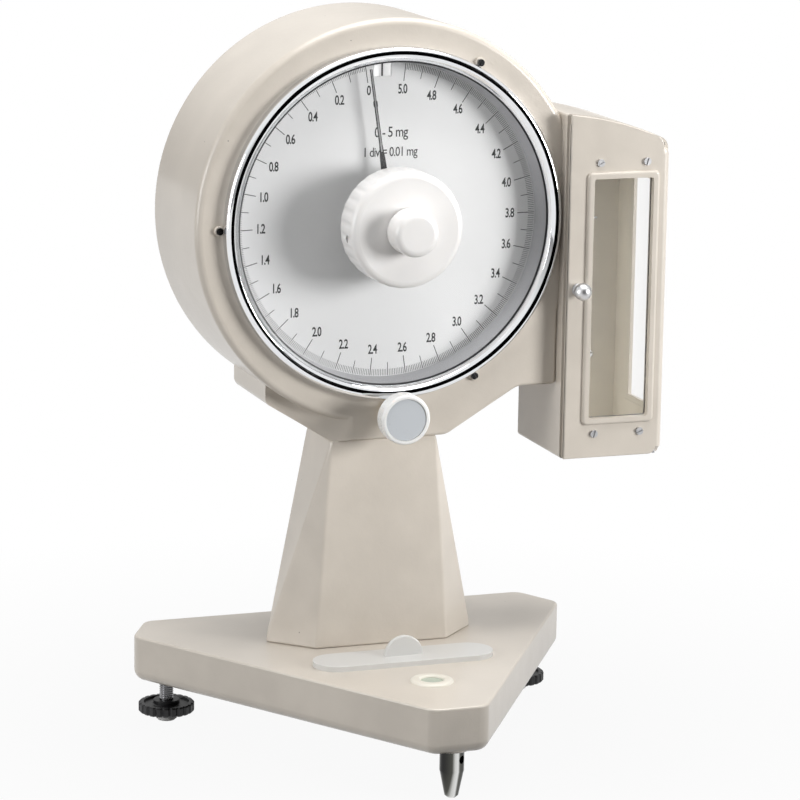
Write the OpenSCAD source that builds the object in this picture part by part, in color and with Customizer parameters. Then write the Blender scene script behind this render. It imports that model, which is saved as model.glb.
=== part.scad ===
// Torsion balance with a round dial head, a weighing box on the right and a three-footed base.
// X is to the right, Y is to the back, Z is up. The origin is on the rest plane, under the column's centre.

/* [Whole] */
// Height of the dial's axle above the rest plane
axle_height = 294; // [293:1:298]
// How far the head's axle sits right of the column's centre
head_shift = 3; // [0:1:5]

/* [Head casting] */
// Outside diameter of the chrome bezel
bezel_dia = 196.6; // [190:0.2:204]
// Width of the bezel outside the window
bezel_width = 6.8; // [6.4:0.1:7.2]
// Width of the drum's face outside the bezel
drum_rim = 15.2; // [14:0.1:17]
// Depth of the drum from its front face to the back of the rear cover
drum_depth = 83; // [81:1:88]
// Wall thickness of the head casting
wall = 4; // [3.5:0.5:4.5]

/* [Reading parts] */
// Diameter of the reading knob
reading_knob_dia = 65; // [60:1:70]
// Length of the reading knob along its axle
reading_knob_len = 21; // [18:1:23]
// Number of finger grooves round the reading knob
knob_grooves = 30; // [20:1:36]
// Diameter of the small centre knob
zero_knob_dia = 25.5; // [22:0.5:30]
// Length of the small centre knob
zero_knob_len = 15; // [12:0.5:17]
// Outside diameter of the hollow reading shaft
reading_shaft_dia = 9; // [8:0.5:10]
// Diameter of the zero shaft inside it
zero_shaft_dia = 4; // [3:0.5:5]
// How far the pointer's tip stays inside the dial's edge
pointer_gap = 4.5; // [4:0.5:8]
// How far left of the top the scale's zero stands, in degrees
zero_angle = 8.6; // [5:0.2:10]

/* [Movement] */
// Distance from the box's inner side to the pan's hook pin
hook_reach = 30.2; // [28:0.2:32]
// How far the beam tips each way, in degrees
beam_tip = 1.5; // [1:0.1:1.5]
// Distance from the axle to each bridge pillar
pillar_circle = 38; // [37:1:40]
// Number of coils in the spiral spring
spring_coils = 6; // [4:1:6]
// How far the arrest fork lifts
fork_lift = 2.2; // [1.8:0.1:2.4]

/* [Lock knob] */
// Diameter of the lock knob
lock_knob_dia = 28.4; // [26:0.2:31]
// Diameter of the lock shaft
lock_shaft_dia = 6; // [5:0.5:7]

/* [Weighing box] */
// Width of the weighing box
box_width = 61.5; // [59:0.5:64]
// Depth of the weighing box
box_depth = 65.3; // [62:0.1:70]
// How far the box's floor lies below the dial's axle
box_drop = 137.5; // [134:0.5:140]
// Thickness of the box's sheet metal
sheet = 2; // [1.5:0.25:2.25]
// Height of the opening in the door
door_open_h = 136.7; // [130:0.1:140]
// Diameter of the hinge pin
hinge_pin_dia = 2.4; // [2:0.2:3]
// Diameter of the ball pull on the door
ball_dia = 10; // [8:0.5:12]
// Diameter of the pan
pan_dia = 12; // [10:1:16]

/* [Base] */
// Height of the base casting
base_height = 26.5; // [25:0.5:28]
// Gap between the rest plane and the underside of the base
base_lift = 26.9; // [25:0.1:29]
// Thickness of the base's walls
base_wall = 5; // [4:0.5:6]
// Corner radius of the base
base_corner = 8; // [6:1:10]
// Diameter of the black foot wheels
foot_wheel_dia = 32; // [28:1:36]
// Thread diameter of the levelling feet
foot_screw_dia = 8; // [6:1:10]
// Diameter of the turned front foot
front_foot_dia = 13.4; // [12:0.1:15]
// Length of the oval lid
lid_len = 105; // [98:1:108]
// Width of the oval lid
lid_width = 27; // [24:1:29]

/* [Fits] */
// Radial clearance of every shaft that turns in a bore
running_clearance = 0.05; // [0.02:0.01:0.09]
// Gap left between parts that pass each other without touching
free_gap = 0.5; // [0.4:0.1:0.6]

/* [Hidden] */
$fn = 96;
eps = 0.01;
bezel_r = bezel_dia / 2;
window_r = bezel_r - bezel_width;
drum_r = bezel_r + drum_rim;
bezel_hole_r = window_r - 2;
face_y = -24;
cover_t = 3;
rear_y = face_y + drum_depth - cover_t;
flat_u = drum_r - 14.7;
dial_y = -12;
dial_t = 1.5;
dial_r = window_r - 1;
pointer_len = dial_r - pointer_gap;
index_v = window_r - 7.5;
glass_t = 2;
// The head's lower block, seen from the front and measured from the axle.
bush_flange_r = 6.9;
lock_v = -bezel_r - bush_flange_r - 0.3;
neck_drop = 16 - lock_v;
column_top = axle_height - neck_drop;
block_rear_y = 47;
block_left = 43.2 - drum_r;
block_half = 50;
neck_left = -34.5;
neck_right = 33.4;
left_rise = 22;
right_rise = 25.5;
right_run = 23;
block = [[block_left, -block_half], [block_left, left_rise - neck_drop], [neck_left, -neck_drop],
    [neck_right, -neck_drop], [flat_u - right_run, right_rise - neck_drop],
    [flat_u, right_rise - neck_drop], [flat_u, block_half]];
// The block's left shoulder is set back, and a ramp brings it forward to the neck.
shoulder_y = -14;
ramp_left = -56;
ramp_right = -22;
// The movement's planes, front to back.
bridge_y = -8.5;
bridge_t = 2.5;
spring_arm_y = -3.5;
spring_arm_t = 1.5;
spring_y = -1.2;
spring_h = 1.5;
spring_pitch = 3;
spring_r = 4.5;
spring_t = 0.4;
cock_y = 2;
cock_t = 2.5;
beam_y = 8;
beam_t = 1.5;
plate_y = 18;
plate_t = 3;
plate_r = window_r - 1.5;
ear_r = drum_r - 12.5;
pillar_d = 6;
pivot_d = 1.5;
crank_throw = fork_lift / sqrt(2);
crank_pin_d = 3;
beam_under = -5;
hook_v = -7;
// The weighing box, measured from the axle.
box_u = flat_u;
box_u2 = flat_u + box_width;
box_floor = axle_height - box_drop;
box_v = -box_drop;
box_y = -31.5;
box_y2 = box_y + box_depth;
arch_u = box_u - 16.8;
door_sill = 23.25;
open_v = box_v + door_sill + door_open_h / 2;
arch_v = open_v + door_open_h / 2 - 145.15;
door_arch_r = 180;
box_arch_r = door_arch_r + free_gap + sheet;
barrel_r = 4;
door_y = -36;
hinge_u = box_u2 - barrel_r;
hinge_y = door_y + barrel_r;
door_u = box_u + 1.1;
door_v = box_v + sheet + free_gap;
barrel_top = arch_v + sqrt(pow(box_arch_r - sheet, 2) - pow(box_u2 - arch_u, 2)) - free_gap;
open_u = box_u + 32.9;
open_w = 36;
door_screw_u = 14;
door_screw_gap = 9;
knob_u = box_u + 6.8;
knob_v = open_v + 6.2;
// The glazed window in the box's right side.
side_y1 = -20;
side_y2 = 10;
side_z1 = box_floor + 25.5;
side_z2 = side_z1 + door_open_h - 7.2;
side_lap = 3;
// The four screws that hold the box to the head's flat side, as places on that side.
box_screw_ys = [-10, 25];
box_screw_vs = [42, -58];
arm_length = box_u + hook_reach;
pan_v = box_v + 51.5;
// The base.
base_top = base_lift + base_height;
base_outline = [[-15.3, -150.8], [15.3, -150.8], [130.3, 32.9], [115.5, 61.4], [-115.5, 61.4],
    [-130.3, 32.9]];
foot_x = 108;
foot_y = 41;
front_foot_y = -138.5;
wheel_z = 5;
wheel_t = 5.5;
peg_dia = 3;
peg_len = 4;
lid_x = 1;
lid_y = -56.5;
lid_t = 3;
level_x = 2;
level_y = -100;
level_r = 12;
// The column's corners: a rectangle at the top, and a hexagon with two side points at the bottom.
column_top_x = 31;
column_top_y = 21.8;
column_foot_x = 39;
column_foot_y = 23;
column_point_x = 62;
column_wall = 4;
column_floor = 8;
column_bolt_x = 26;
column_bolt_y = 12;

// Moves children to the axle, with their Z axis pointing to the viewer and their origin at depth y.
module facing(y) {
    translate([head_shift, y, axle_height])
        rotate([90, 0, 0])
            children();
}

// Gives a shape drawn in the front view its depth, from y1 in front to y2 behind.
module between(y1, y2) {
    facing(y2)
        linear_extrude(height = y2 - y1)
            children();
}

// Places children at each angle on a circle round the axle, in the front view.
module around(radius, angles) {
    for (a = angles)
        translate([radius * cos(a), radius * sin(a)])
            children();
}

module disc(r) {
    circle(r = r);
}

module ring(outer, inner) {
    difference() {
        circle(r = outer);
        circle(r = inner);
    }
}

function unit(v) = v / norm(v);
function cross2(a, b) = a[0] * b[1] - a[1] * b[0];
// One corner of an outline moved inwards by t; the outline runs counter-clockwise.
function inset_corner(a, b, c, t) =
    let (p = unit(b - a), q = unit(c - b), np = [-p[1], p[0]], nq = [-q[1], q[0]])
    b + t * (np + nq) / (1 + np * nq);
function inset(pts, t) = [for (i = [0 : len(pts) - 1])
    inset_corner(pts[(i + len(pts) - 1) % len(pts)], pts[i], pts[(i + 1) % len(pts)], t)];
function corner_centre(a, b, c, r) =
    let (p = unit(a - b), q = unit(c - b), half = acos(p * q) / 2)
    b + unit(p + q) * r / sin(half);
function corner_reach(a, b, c, r) = r / tan(acos(unit(a - b) * unit(c - b)) / 2);

// A convex outline with every corner rounded to radius r.
module rounded(pts, r) {
    n = len(pts);
    polygon([for (i = [0 : n - 1], s = [0, 1])
        let (a = pts[(i + n - 1) % n], b = pts[i], c = pts[(i + 1) % n], d = corner_reach(a, b, c, r))
        s == 0 ? b + unit(a - b) * d : b + unit(c - b) * d]);
    for (i = [0 : n - 1])
        translate(corner_centre(pts[(i + n - 1) % n], pts[i], pts[(i + 1) % n], r))
            circle(r = r);
}

module box2d(w, h, r) {
    rounded([[-w / 2, -h / 2], [w / 2, -h / 2], [w / 2, h / 2], [-w / 2, h / 2]], r);
}

// An oval slot, length and width over its round ends, lying along X.
module slot2d(len, wid) {
    square([len - wid, wid], center = true);
    for (s = [-1, 1])
        translate([s * (len - wid) / 2, 0])
            circle(d = wid);
}

// Everything left of the flat side where the weighing box is bolted.
module left_of(u) {
    translate([u - 400, -200])
        square([400, 400]);
}

module drum_outline(r, u) {
    intersection() {
        circle(r = r);
        left_of(u);
    }
}

// The base.

module base_outline2d(t) {
    rounded(inset(base_outline, t), max(base_corner - t, 2));
}

module base_casting() {
    color([0.72, 0.68, 0.63])
    difference() {
        union() {
            difference() {
                translate([0, 0, base_lift])
                    linear_extrude(height = base_height)
                        base_outline2d(0);
                translate([0, 0, base_lift - 1])
                    linear_extrude(height = base_height - 6 + 1)
                        base_outline2d(base_wall);
            }
            foot_places()
                base_boss(10, base_lift);
            column_bolt_places()
                base_boss(8, base_lift + 6);
            translate([level_x, level_y, 0])
                base_boss(level_r + 3, base_top - 10);
            translate([lid_x, lid_y, base_top - 18])
                linear_extrude(height = 15)
                    slot2d(lid_len - 8, lid_width - 2);
        }
        for (s = [-1, 1])
            translate([s * foot_x, foot_y, base_lift - 1])
                cylinder(d = foot_screw_dia + 2 * running_clearance, h = base_height - 5);
        translate([0, front_foot_y, base_lift - 1])
            cylinder(d = 8, h = base_height - 5);
        column_bolt_places()
            cylinder(d = 5, h = base_top + 1);
        translate([level_x, level_y, base_top - 5])
            cylinder(r = level_r - 1, h = 6);
        translate([lid_x, lid_y, base_top - 15])
            linear_extrude(height = 16)
                slot2d(lid_len - 14, lid_width - 8);
    }
}

module base_boss(r, z) {
    translate([0, 0, z])
        cylinder(r = r, h = base_top - 3 - z);
}

module foot_places() {
    for (p = [[-foot_x, foot_y], [foot_x, foot_y], [0, front_foot_y]])
        translate([p[0], p[1], 0])
            children();
}

module column_bolt_places() {
    for (x = [-column_bolt_x, column_bolt_x], y = [-column_bolt_y, column_bolt_y])
        translate([x, y, 0])
            children();
}

module front_foot() {
    tip_r = 2.6;
    round_r = 1.2;
    taper_z = 15;
    color([0.6, 0.6, 0.62])
    translate([0, front_foot_y, 0])
    difference() {
        rotate_extrude()
            polygon([[0, 0], [tip_r, 0], [tip_r + round_r, round_r], [front_foot_dia / 2, taper_z],
                [front_foot_dia / 2, base_lift], [4, base_lift], [4, base_lift + 14], [0, base_lift + 14]]);
        translate([0, 0, base_lift - 5])
            rotate([0, 90, -55])
                cylinder(d = 4.5, h = 40, center = true);
    }
}

// The screw turns on a peg that stands on a small pad, so the pad doesn't scratch the bench.
module foot_screw(x) {
    color([0.5, 0.5, 0.52])
    translate([x, foot_y, 0])
        difference() {
            translate([0, 0, wheel_z])
                cylinder(d = foot_screw_dia, h = base_lift + 16 - wheel_z);
            translate([0, 0, wheel_z - 1])
                cylinder(d = peg_dia + 2 * running_clearance, h = peg_len + 1.5);
        }
}

module foot_pad(x) {
    pad_t = wheel_z - 0.3;
    color([0.15, 0.15, 0.15])
    translate([x, foot_y, 0]) {
        rotate_extrude()
            polygon([[0, 0], [foot_screw_dia / 2 + 1, 0], [foot_screw_dia / 2 + 2, 1],
                [foot_screw_dia / 2 + 2, pad_t], [0, pad_t]]);
        cylinder(d = peg_dia, h = wheel_z + peg_len);
    }
}

module left_foot_pad() {
    foot_pad(-foot_x);
}

module right_foot_pad() {
    foot_pad(foot_x);
}

module left_foot_screw() {
    foot_screw(-foot_x);
}

module right_foot_screw() {
    foot_screw(foot_x);
}

// A scalloped wheel with a raised rim and hub, driven onto its screw.
module foot_wheel(x) {
    teeth = 22;
    r = foot_wheel_dia / 2;
    color([0.05, 0.05, 0.05])
    translate([x, foot_y, wheel_z])
    difference() {
        union() {
            cylinder(r = r, h = wheel_t);
            cylinder(d = foot_screw_dia + 7, h = wheel_t + 1.5);
        }
        translate([0, 0, wheel_t - 1.5])
            linear_extrude(height = 2)
                difference() {
                    circle(r = r - 3);
                    circle(d = foot_screw_dia + 7);
                }
        translate([0, 0, -1])
            cylinder(d = foot_screw_dia, h = wheel_t + 4);
        for (i = [0 : teeth - 1])
            rotate([0, 0, 360 / teeth * i])
                translate([r + 0.6, 0, -1])
                    cylinder(r = 1.5, h = wheel_t + 2, $fn = 24);
    }
}

module left_foot_wheel() {
    foot_wheel(-foot_x);
}

module right_foot_wheel() {
    foot_wheel(foot_x);
}

module level_ring() {
    color([0.85, 0.84, 0.82])
    translate([level_x, level_y, base_top])
        rotate_extrude()
            union() {
                translate([6.5, 0])
                    square([level_r - 6.5 - 1.5, 1.5]);
                square_to_edge(level_r - 1.5, 1.5);
            }
}

// A quarter round edge that closes a turned ring's outer side.
module square_to_edge(x, h) {
    intersection() {
        translate([x, 0])
            circle(r = h);
        translate([x, 0])
            square([h, h]);
    }
}

module level_vial() {
    color([0.75, 0.85, 0.7])
    translate([level_x, level_y, base_top - 5])
        cylinder(r = level_r - 1, h = 5);
}

module tray_lid() {
    tab_r = 11.2;
    tab_t = 3;
    color([0.93, 0.93, 0.94])
    translate([lid_x, lid_y, 0]) {
        translate([0, 0, base_top])
            linear_extrude(height = lid_t)
                slot2d(lid_len, lid_width);
        translate([0, 0, base_top - 4])
            linear_extrude(height = 4 + eps)
                slot2d(lid_len - 14 - 2 * free_gap, lid_width - 8 - 2 * free_gap);
        translate([0, tab_t / 2, base_top + lid_t])
            rotate([90, 0, 0])
                linear_extrude(height = tab_t)
                    intersection() {
                        circle(r = tab_r);
                        translate([-tab_r, -eps])
                            square([2 * tab_r, tab_r + 1]);
                    }
    }
}

// The column: a rectangle at the top, a hexagon at the bottom.

function column_points(t, z1, z2) =
    let (tx = column_top_x - t, ty = column_top_y - t, bx = column_foot_x - t, by = column_foot_y - t,
        sx = column_point_x - 1.6 * t)
    [[-tx, -ty, z2], [tx, -ty, z2], [tx, ty, z2], [-tx, ty, z2],
     [-bx, -by, z1], [bx, -by, z1], [sx, 0, z1], [bx, by, z1], [-bx, by, z1], [-sx, 0, z1]];

module column_solid(t, z1, z2) {
    polyhedron(column_points(t, z1, z2), [[0, 3, 2, 1], [4, 5, 6, 7, 8, 9], [0, 1, 5, 4], [1, 6, 5],
        [1, 2, 6], [2, 7, 6], [2, 3, 8, 7], [3, 9, 8], [3, 0, 9], [0, 4, 9]]);
}

module column() {
    color([0.74, 0.70, 0.65])
    difference() {
        column_solid(0, base_top, column_top);
        column_solid(column_wall, base_top + column_floor, column_top - column_floor);
        translate([0, 0, base_top - 1])
            cylinder(r = 12, h = column_floor + 2);
        column_bolt_places()
            translate([0, 0, base_top - 1])
                cylinder(d = 5, h = column_floor + 2);
        neck_bolt_places()
            translate([0, 0, column_top - column_floor - 1])
                cylinder(d = 5, h = column_floor + 2);
    }
}

module neck_bolt_places() {
    for (x = [-20, 20])
        translate([x, 0, 0])
            children();
}

module socket_screw(d, shank, head_d, head_h) {
    translate([0, 0, -shank])
        cylinder(d = d, h = shank);
    difference() {
        cylinder(d = head_d, h = head_h);
        translate([0, 0, head_h / 2])
            cylinder(d = d, h = head_h, $fn = 6);
    }
}

module slotted_screw(d, shank, head_d, head_h) {
    translate([0, 0, -shank])
        cylinder(d = d, h = shank);
    difference() {
        cylinder(d = head_d, h = head_h);
        translate([-head_d, -head_d / 12, head_h / 2])
            cube([2 * head_d, head_d / 6, head_h]);
    }
}

// Four bolts come up from under the base, and two go down from inside the head.
module column_bolts() {
    color([0.55, 0.55, 0.56]) {
        column_bolt_places()
            translate([0, 0, base_lift + 6])
                rotate([180, 0, 0])
                    socket_screw(5, base_height - 6 + column_floor, 9, 5);
        neck_bolt_places()
            translate([0, 0, column_top + wall])
                socket_screw(5, wall + column_floor, 9, 5);
    }
}

// The head casting.

module drum_body() {
    front_round = 4;
    depth = rear_y - face_y;
    facing(face_y)
        mirror([0, 0, 1])
            rotate_extrude()
                union() {
                    square([drum_r - front_round, depth]);
                    translate([0, front_round])
                        square([drum_r, depth - front_round]);
                    translate([drum_r - front_round, front_round])
                        circle(r = front_round);
                }
}

// The plan of the lower block: its left shoulder is set back and runs forward into the neck.
module block_plan() {
    translate([head_shift, 0])
        polygon([[block_left - 5, shoulder_y], [ramp_left, shoulder_y], [ramp_right, face_y],
            [flat_u + 5, face_y], [flat_u + 5, block_rear_y], [block_left - 5, block_rear_y]]);
}

module housing() {
    color([0.78, 0.74, 0.69])
    difference() {
        union() {
            intersection() {
                drum_body();
                between(face_y - 1, rear_y + 1)
                    left_of(flat_u);
            }
            intersection() {
                between(face_y, block_rear_y)
                    polygon(block);
                translate([0, 0, column_top])
                    linear_extrude(height = neck_drop + block_half + 10)
                        block_plan();
            }
        }
        difference() {
            union() {
                between(face_y + wall, rear_y + 1)
                    drum_outline(drum_r - wall, flat_u - wall);
                intersection() {
                    between(face_y + wall, block_rear_y - wall)
                        polygon(inset(block, wall));
                    translate([head_shift, wall, column_top])
                        linear_extrude(height = neck_drop)
                            polygon([[block_left - 5, shoulder_y], [ramp_left, shoulder_y],
                                [ramp_right, face_y], [flat_u, face_y], [flat_u, block_rear_y - 2 * wall],
                                [block_left - 5, block_rear_y - 2 * wall]]);
                }
            }
            between(face_y, plate_y)
                around(ear_r, [45, 135, 225, 315])
                    circle(r = 6);
            between(rear_y - 12, rear_y)
                cover_screw_places()
                    circle(r = 5);
        }
        between(face_y - 1, face_y + wall + 1)
            circle(r = window_r);
        between(face_y - 1, face_y + wall + 1)
            bezel_screw_places()
                circle(d = bezel_screw_dia);
        between(plate_y - 10, plate_y + 1)
            around(ear_r, [45, 135, 225, 315])
                circle(d = 4);
        between(rear_y - 10, rear_y + 1)
            cover_screw_places()
                circle(d = 4);
        between(face_y - 1, face_y + wall + 1)
            translate([0, lock_v])
                circle(r = 6);
        beam_window();
        box_screw_places()
            translate([-wall - 1, 0, 0])
                rotate([0, 90, 0])
                    cylinder(d = 4, h = wall + 2);
        neck_bolt_places()
            translate([0, 0, column_top - 1])
                cylinder(d = 5, h = wall + 2);
    }
}

// Three small tabs on the bezel's edge, each under the head of a screw.
bezel_screw_angles = [61, 180, 299];
bezel_screw_dia = 2.5;
bezel_screw_head = 4;
bezel_screw_r = bezel_r + bezel_screw_head / 2 + 0.3;
bezel_tab_t = 1.5;

module bezel_screw_places() {
    around(bezel_screw_r, bezel_screw_angles)
        children();
}

module cover_screw_places() {
    around(drum_r - wall - 4, [90, 180, 270])
        children();
    translate([flat_u - wall - 4, 0])
        children();
}

// The way the beam's arm takes through the head's side and the box's side.
module beam_window() {
    translate([head_shift + flat_u - wall - 1, beam_y + beam_t / 2 - 8, axle_height + hook_v + 2 - 10])
        cube([wall + sheet + 2, 16, 20]);
}

module rear_cover() {
    color([0.76, 0.72, 0.67])
    difference() {
        between(rear_y, rear_y + cover_t)
            drum_outline(drum_r, flat_u);
        between(rear_y - 1, rear_y + cover_t + 1)
            cover_screw_places()
                circle(d = 4);
    }
}

module rear_cover_screws() {
    color([0.7, 0.7, 0.7])
    for (p = [0 : 3])
        facing(rear_y + cover_t)
            mirror([0, 0, 1])
                translate(p < 3 ? (drum_r - wall - 4) * [cos(90 * (p + 1)), sin(90 * (p + 1)), 0]
                        : [flat_u - wall - 4, 0, 0])
                    slotted_screw(4, cover_t + 7, 7.5, 2);
}

// Double beaded chrome ring, its lip over the glass.
module bezel() {
    bead = 0.4706 * bezel_width;
    small = 0.3824 * bezel_width;
    bead_step = 0.15;
    flange = 3.6;
    color([0.8, 0.8, 0.82])
    facing(face_y)
        difference() {
            union() {
                rotate_extrude()
                    union() {
                        translate([bezel_hole_r, 0])
                            square([bezel_r - bezel_hole_r, flange]);
                        translate([bezel_r - bead_step - bead, flange])
                            half_bead(bead);
                        translate([bezel_hole_r + bead_step + small, flange])
                            half_bead(small);
                    }
                bezel_screw_places()
                    cylinder(r = bezel_screw_head / 2 + 0.8, h = bezel_tab_t);
            }
            translate([0, 0, -1])
                cylinder(r = window_r - 0.5, h = glass_t + 1);
            bezel_screw_places()
                translate([0, 0, -1])
                    cylinder(d = bezel_screw_dia, h = bezel_tab_t + 2);
        }
}

module half_bead(r) {
    intersection() {
        circle(r = r);
        translate([-r, -eps])
            square([2 * r, r + 1]);
    }
}

module bezel_screws() {
    color([0.75, 0.75, 0.77])
    facing(face_y - bezel_tab_t)
        for (a = bezel_screw_angles)
            rotate([0, 0, a])
                translate([bezel_screw_r, 0, 0])
                    slotted_screw(bezel_screw_dia, bezel_tab_t + 3, bezel_screw_head, 1.2);
}

module front_glass() {
    color([0.85, 0.9, 0.92, 0.25])
    between(face_y - glass_t, face_y)
        ring(window_r - 0.5, reading_shaft_dia / 2 + 6);
}

// A ring whose inner wall slopes in from the glass to the dial.
module reveal_ring() {
    depth = dial_y - face_y;
    color([0.6, 0.6, 0.61])
    facing(dial_y)
        rotate_extrude()
            polygon([[window_r - 3.3, 0], [window_r - 0.3, 0], [window_r - 0.3, depth],
                [window_r - 1.1, depth]]);
}

// The dial and the movement behind it.

module dial_plate() {
    color([0.92, 0.92, 0.92])
    difference() {
        between(dial_y, dial_y + dial_t)
            circle(r = dial_r);
        between(dial_y - 1, dial_y + dial_t + 1)
            circle(r = reading_shaft_dia / 2 + 3);
        between(dial_y - 1, dial_y + dial_t + 1)
            translate([-3.4, index_v])
                square([10, 7.6], center = true);
    }
}

// A white screen behind the needle, carried by two legs on the dial's back.
module index_screen() {
    back = dial_y + dial_t;
    color([0.95, 0.95, 0.93])
    translate([-3.4, 0, 0]) {
        between(back + 3.4, back + 4.4)
            translate([-10, index_v - 6])
                square([20, 11]);
        for (s = [-1, 1])
            between(back, back + 3.4 + eps)
                translate([s * 9 - 1, index_v - 6])
                    square([2, 11]);
    }
}

module dial_pillars() {
    color([0.8, 0.7, 0.4])
    between(dial_y + dial_t, plate_y)
        around(window_r - 13.5, [45, 135, 225, 315])
            circle(r = 3.5);
}

module main_plate() {
    color([0.7, 0.71, 0.72])
    difference() {
        between(plate_y, plate_y + plate_t)
            union() {
                circle(r = plate_r);
                for (a = [45, 135, 225, 315])
                    rotate(a)
                        translate([ear_r - 16, 0])
                            slot2d(46, 14);
            }
        between(plate_y - 1, plate_y + plate_t + 1)
            around(ear_r, [45, 135, 225, 315])
                circle(d = 4);
        between(plate_y - 1, plate_y + plate_t + 1)
            circle(r = 3);
    }
}

module main_plate_screws() {
    color([0.7, 0.7, 0.7])
    facing(plate_y + plate_t)
        for (a = [45, 135, 225, 315])
            translate([ear_r * cos(a), ear_r * sin(a), 0])
                mirror([0, 0, 1])
                    slotted_screw(4, plate_t + 7, 7.5, 2);
}

module front_bridge() {
    color([0.82, 0.72, 0.42])
    difference() {
        between(bridge_y, bridge_y + bridge_t)
            union() {
                for (a = [45, 135])
                    rotate(a)
                        slot2d(2 * pillar_circle + 12, 12);
                circle(r = 14);
            }
        between(bridge_y - 1, bridge_y + bridge_t + 1)
            circle(r = reading_shaft_dia / 2 + 2.5);
    }
}

module cock_plate() {
    color([0.82, 0.72, 0.42])
    difference() {
        between(cock_y, cock_y + cock_t)
            union() {
                for (a = [45, 135])
                    rotate(a)
                        slot2d(2 * pillar_circle + 12, 10);
                circle(r = 9);
            }
        between(cock_y - 1, cock_y + cock_t + 1)
            around(pillar_circle, [45, 135, 225, 315])
                circle(d = pillar_d);
        between(cock_y - 1, cock_y + cock_t + 1)
            circle(r = 3);
    }
}

module bridge_pillars() {
    color([0.8, 0.7, 0.4])
    between(bridge_y + bridge_t, plate_y)
        around(pillar_circle, [45, 135, 225, 315])
            circle(d = pillar_d);
}

module shaft_bush() {
    color([0.75, 0.6, 0.3])
    difference() {
        between(dial_y + dial_t - 1, bridge_y + bridge_t)
            circle(r = reading_shaft_dia / 2 + 2.5);
        between(dial_y - 1, bridge_y + bridge_t + 1)
            circle(d = reading_shaft_dia + 2 * running_clearance);
    }
}

module beam_jewels() {
    color([0.7, 0.1, 0.2])
    for (y = [cock_y, plate_y])
        between(y, y + cock_t)
            ring(3, pivot_d / 2 + running_clearance);
}

module reading_shaft() {
    color([0.75, 0.75, 0.77])
    between(knob_back_y - reading_knob_len + 2, bridge_y + bridge_t + 1.5)
        ring(reading_shaft_dia / 2, zero_shaft_dia / 2 + running_clearance);
}

knob_back_y = face_y - glass_t - 1.5;
knob_face_y = knob_back_y - reading_knob_len;
zero_grip = 8;

module reading_knob() {
    r = reading_knob_dia / 2;
    edge = 4;
    color([0.93, 0.92, 0.91])
    facing(knob_back_y)
        difference() {
            rotate_extrude()
                union() {
                    square([r, reading_knob_len - edge]);
                    square([r - edge, reading_knob_len]);
                    translate([r - edge, reading_knob_len - edge])
                        circle(r = edge);
                }
            for (i = [0 : knob_grooves - 1])
                rotate([0, 0, 360 / knob_grooves * i])
                    translate([r + 1.2, 0, -1])
                        cylinder(r = 2.2, h = reading_knob_len + 2, $fn = 32);
            translate([0, 0, -1])
                cylinder(d = reading_shaft_dia, h = reading_knob_len - 1);
            translate([0, 0, reading_knob_len - 2])
                cylinder(d = zero_shaft_dia + 2 * running_clearance, h = 4);
            rotate([0, 0, 189])
                translate([0, 0, reading_knob_len / 2])
                    rotate([0, 90, 0])
                        cylinder(d = 4, h = r + 2);
        }
}

module knob_set_screw() {
    color([0.2, 0.2, 0.2])
    facing(knob_back_y - reading_knob_len / 2)
        rotate([0, 0, 189])
            translate([reading_shaft_dia / 2, 0, 0])
                rotate([0, 90, 0])
                    difference() {
                        cylinder(d = 4, h = 12);
                        translate([0, 0, 9])
                            cylinder(d = 2, h = 4, $fn = 6);
                    }
}

module pointer() {
    y = face_y + 3.5;
    hub_r = reading_shaft_dia / 2 + 3.5;
    color([0.1, 0.1, 0.1])
    difference() {
        union() {
            between(y, y + 3.5)
                circle(r = hub_r);
            between(y + 1, y + 2)
                rotate(zero_angle)
                    polygon([[-2, 0], [2, 0], [1.3, 36], [0.6, 40], [0.15, pointer_len],
                        [-0.15, pointer_len], [-0.6, 40], [-1.3, 36]]);
        }
        between(y - 1, y + 5)
            circle(d = reading_shaft_dia);
    }
}

module zero_knob() {
    r = zero_knob_dia / 2;
    edge = 4;
    color([0.93, 0.92, 0.91])
    facing(knob_face_y - free_gap)
        difference() {
            rotate_extrude()
                union() {
                    square([r, zero_knob_len - edge]);
                    square([r - edge, zero_knob_len]);
                    translate([r - edge, zero_knob_len - edge])
                        circle(r = edge);
                }
            translate([0, 0, -1])
                cylinder(d = zero_shaft_dia, h = zero_grip + 1.5);
        }
}

// The zero shaft carries the arm and the stud that hold the spring's outer end.
module zero_shaft() {
    reach = spring_r + spring_pitch * spring_coils;
    color([0.75, 0.75, 0.77]) {
        between(knob_face_y - free_gap - zero_grip, spring_arm_y + spring_arm_t)
            circle(d = zero_shaft_dia);
        between(spring_arm_y, spring_arm_y + spring_arm_t)
            union() {
                circle(r = 5);
                translate([0, -1.5])
                    square([reach + 1.5, 3]);
            }
        between(spring_arm_y, spring_y + spring_h)
            translate([reach + spring_t / 2 + 0.8, 0])
                circle(r = 0.8);
    }
}

// A flat spiral made of half rings whose centres alternate.
module hairspring() {
    color([0.35, 0.4, 0.55])
    for (i = [0 : 2 * spring_coils - 1])
        facing(spring_y + spring_h)
            translate([i % 2 == 0 ? 0 : spring_pitch / 2, 0, 0])
                rotate([0, 0, i % 2 == 0 ? 0 : 180])
                    rotate_extrude(angle = 180)
                        translate([spring_r + i * spring_pitch / 2 - spring_t / 2, 0])
                            square([spring_t, spring_h]);
}

module beam_spindle() {
    color([0.7, 0.7, 0.72]) {
        between(spring_y - 0.2, plate_y + cock_t - 0.3)
            circle(d = pivot_d);
        between(cock_y + cock_t + 0.7, plate_y - 0.7)
            circle(d = 3);
        between(spring_y - 0.2, spring_y + spring_h + 0.3)
            circle(r = spring_r - spring_t / 2);
    }
}

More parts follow.
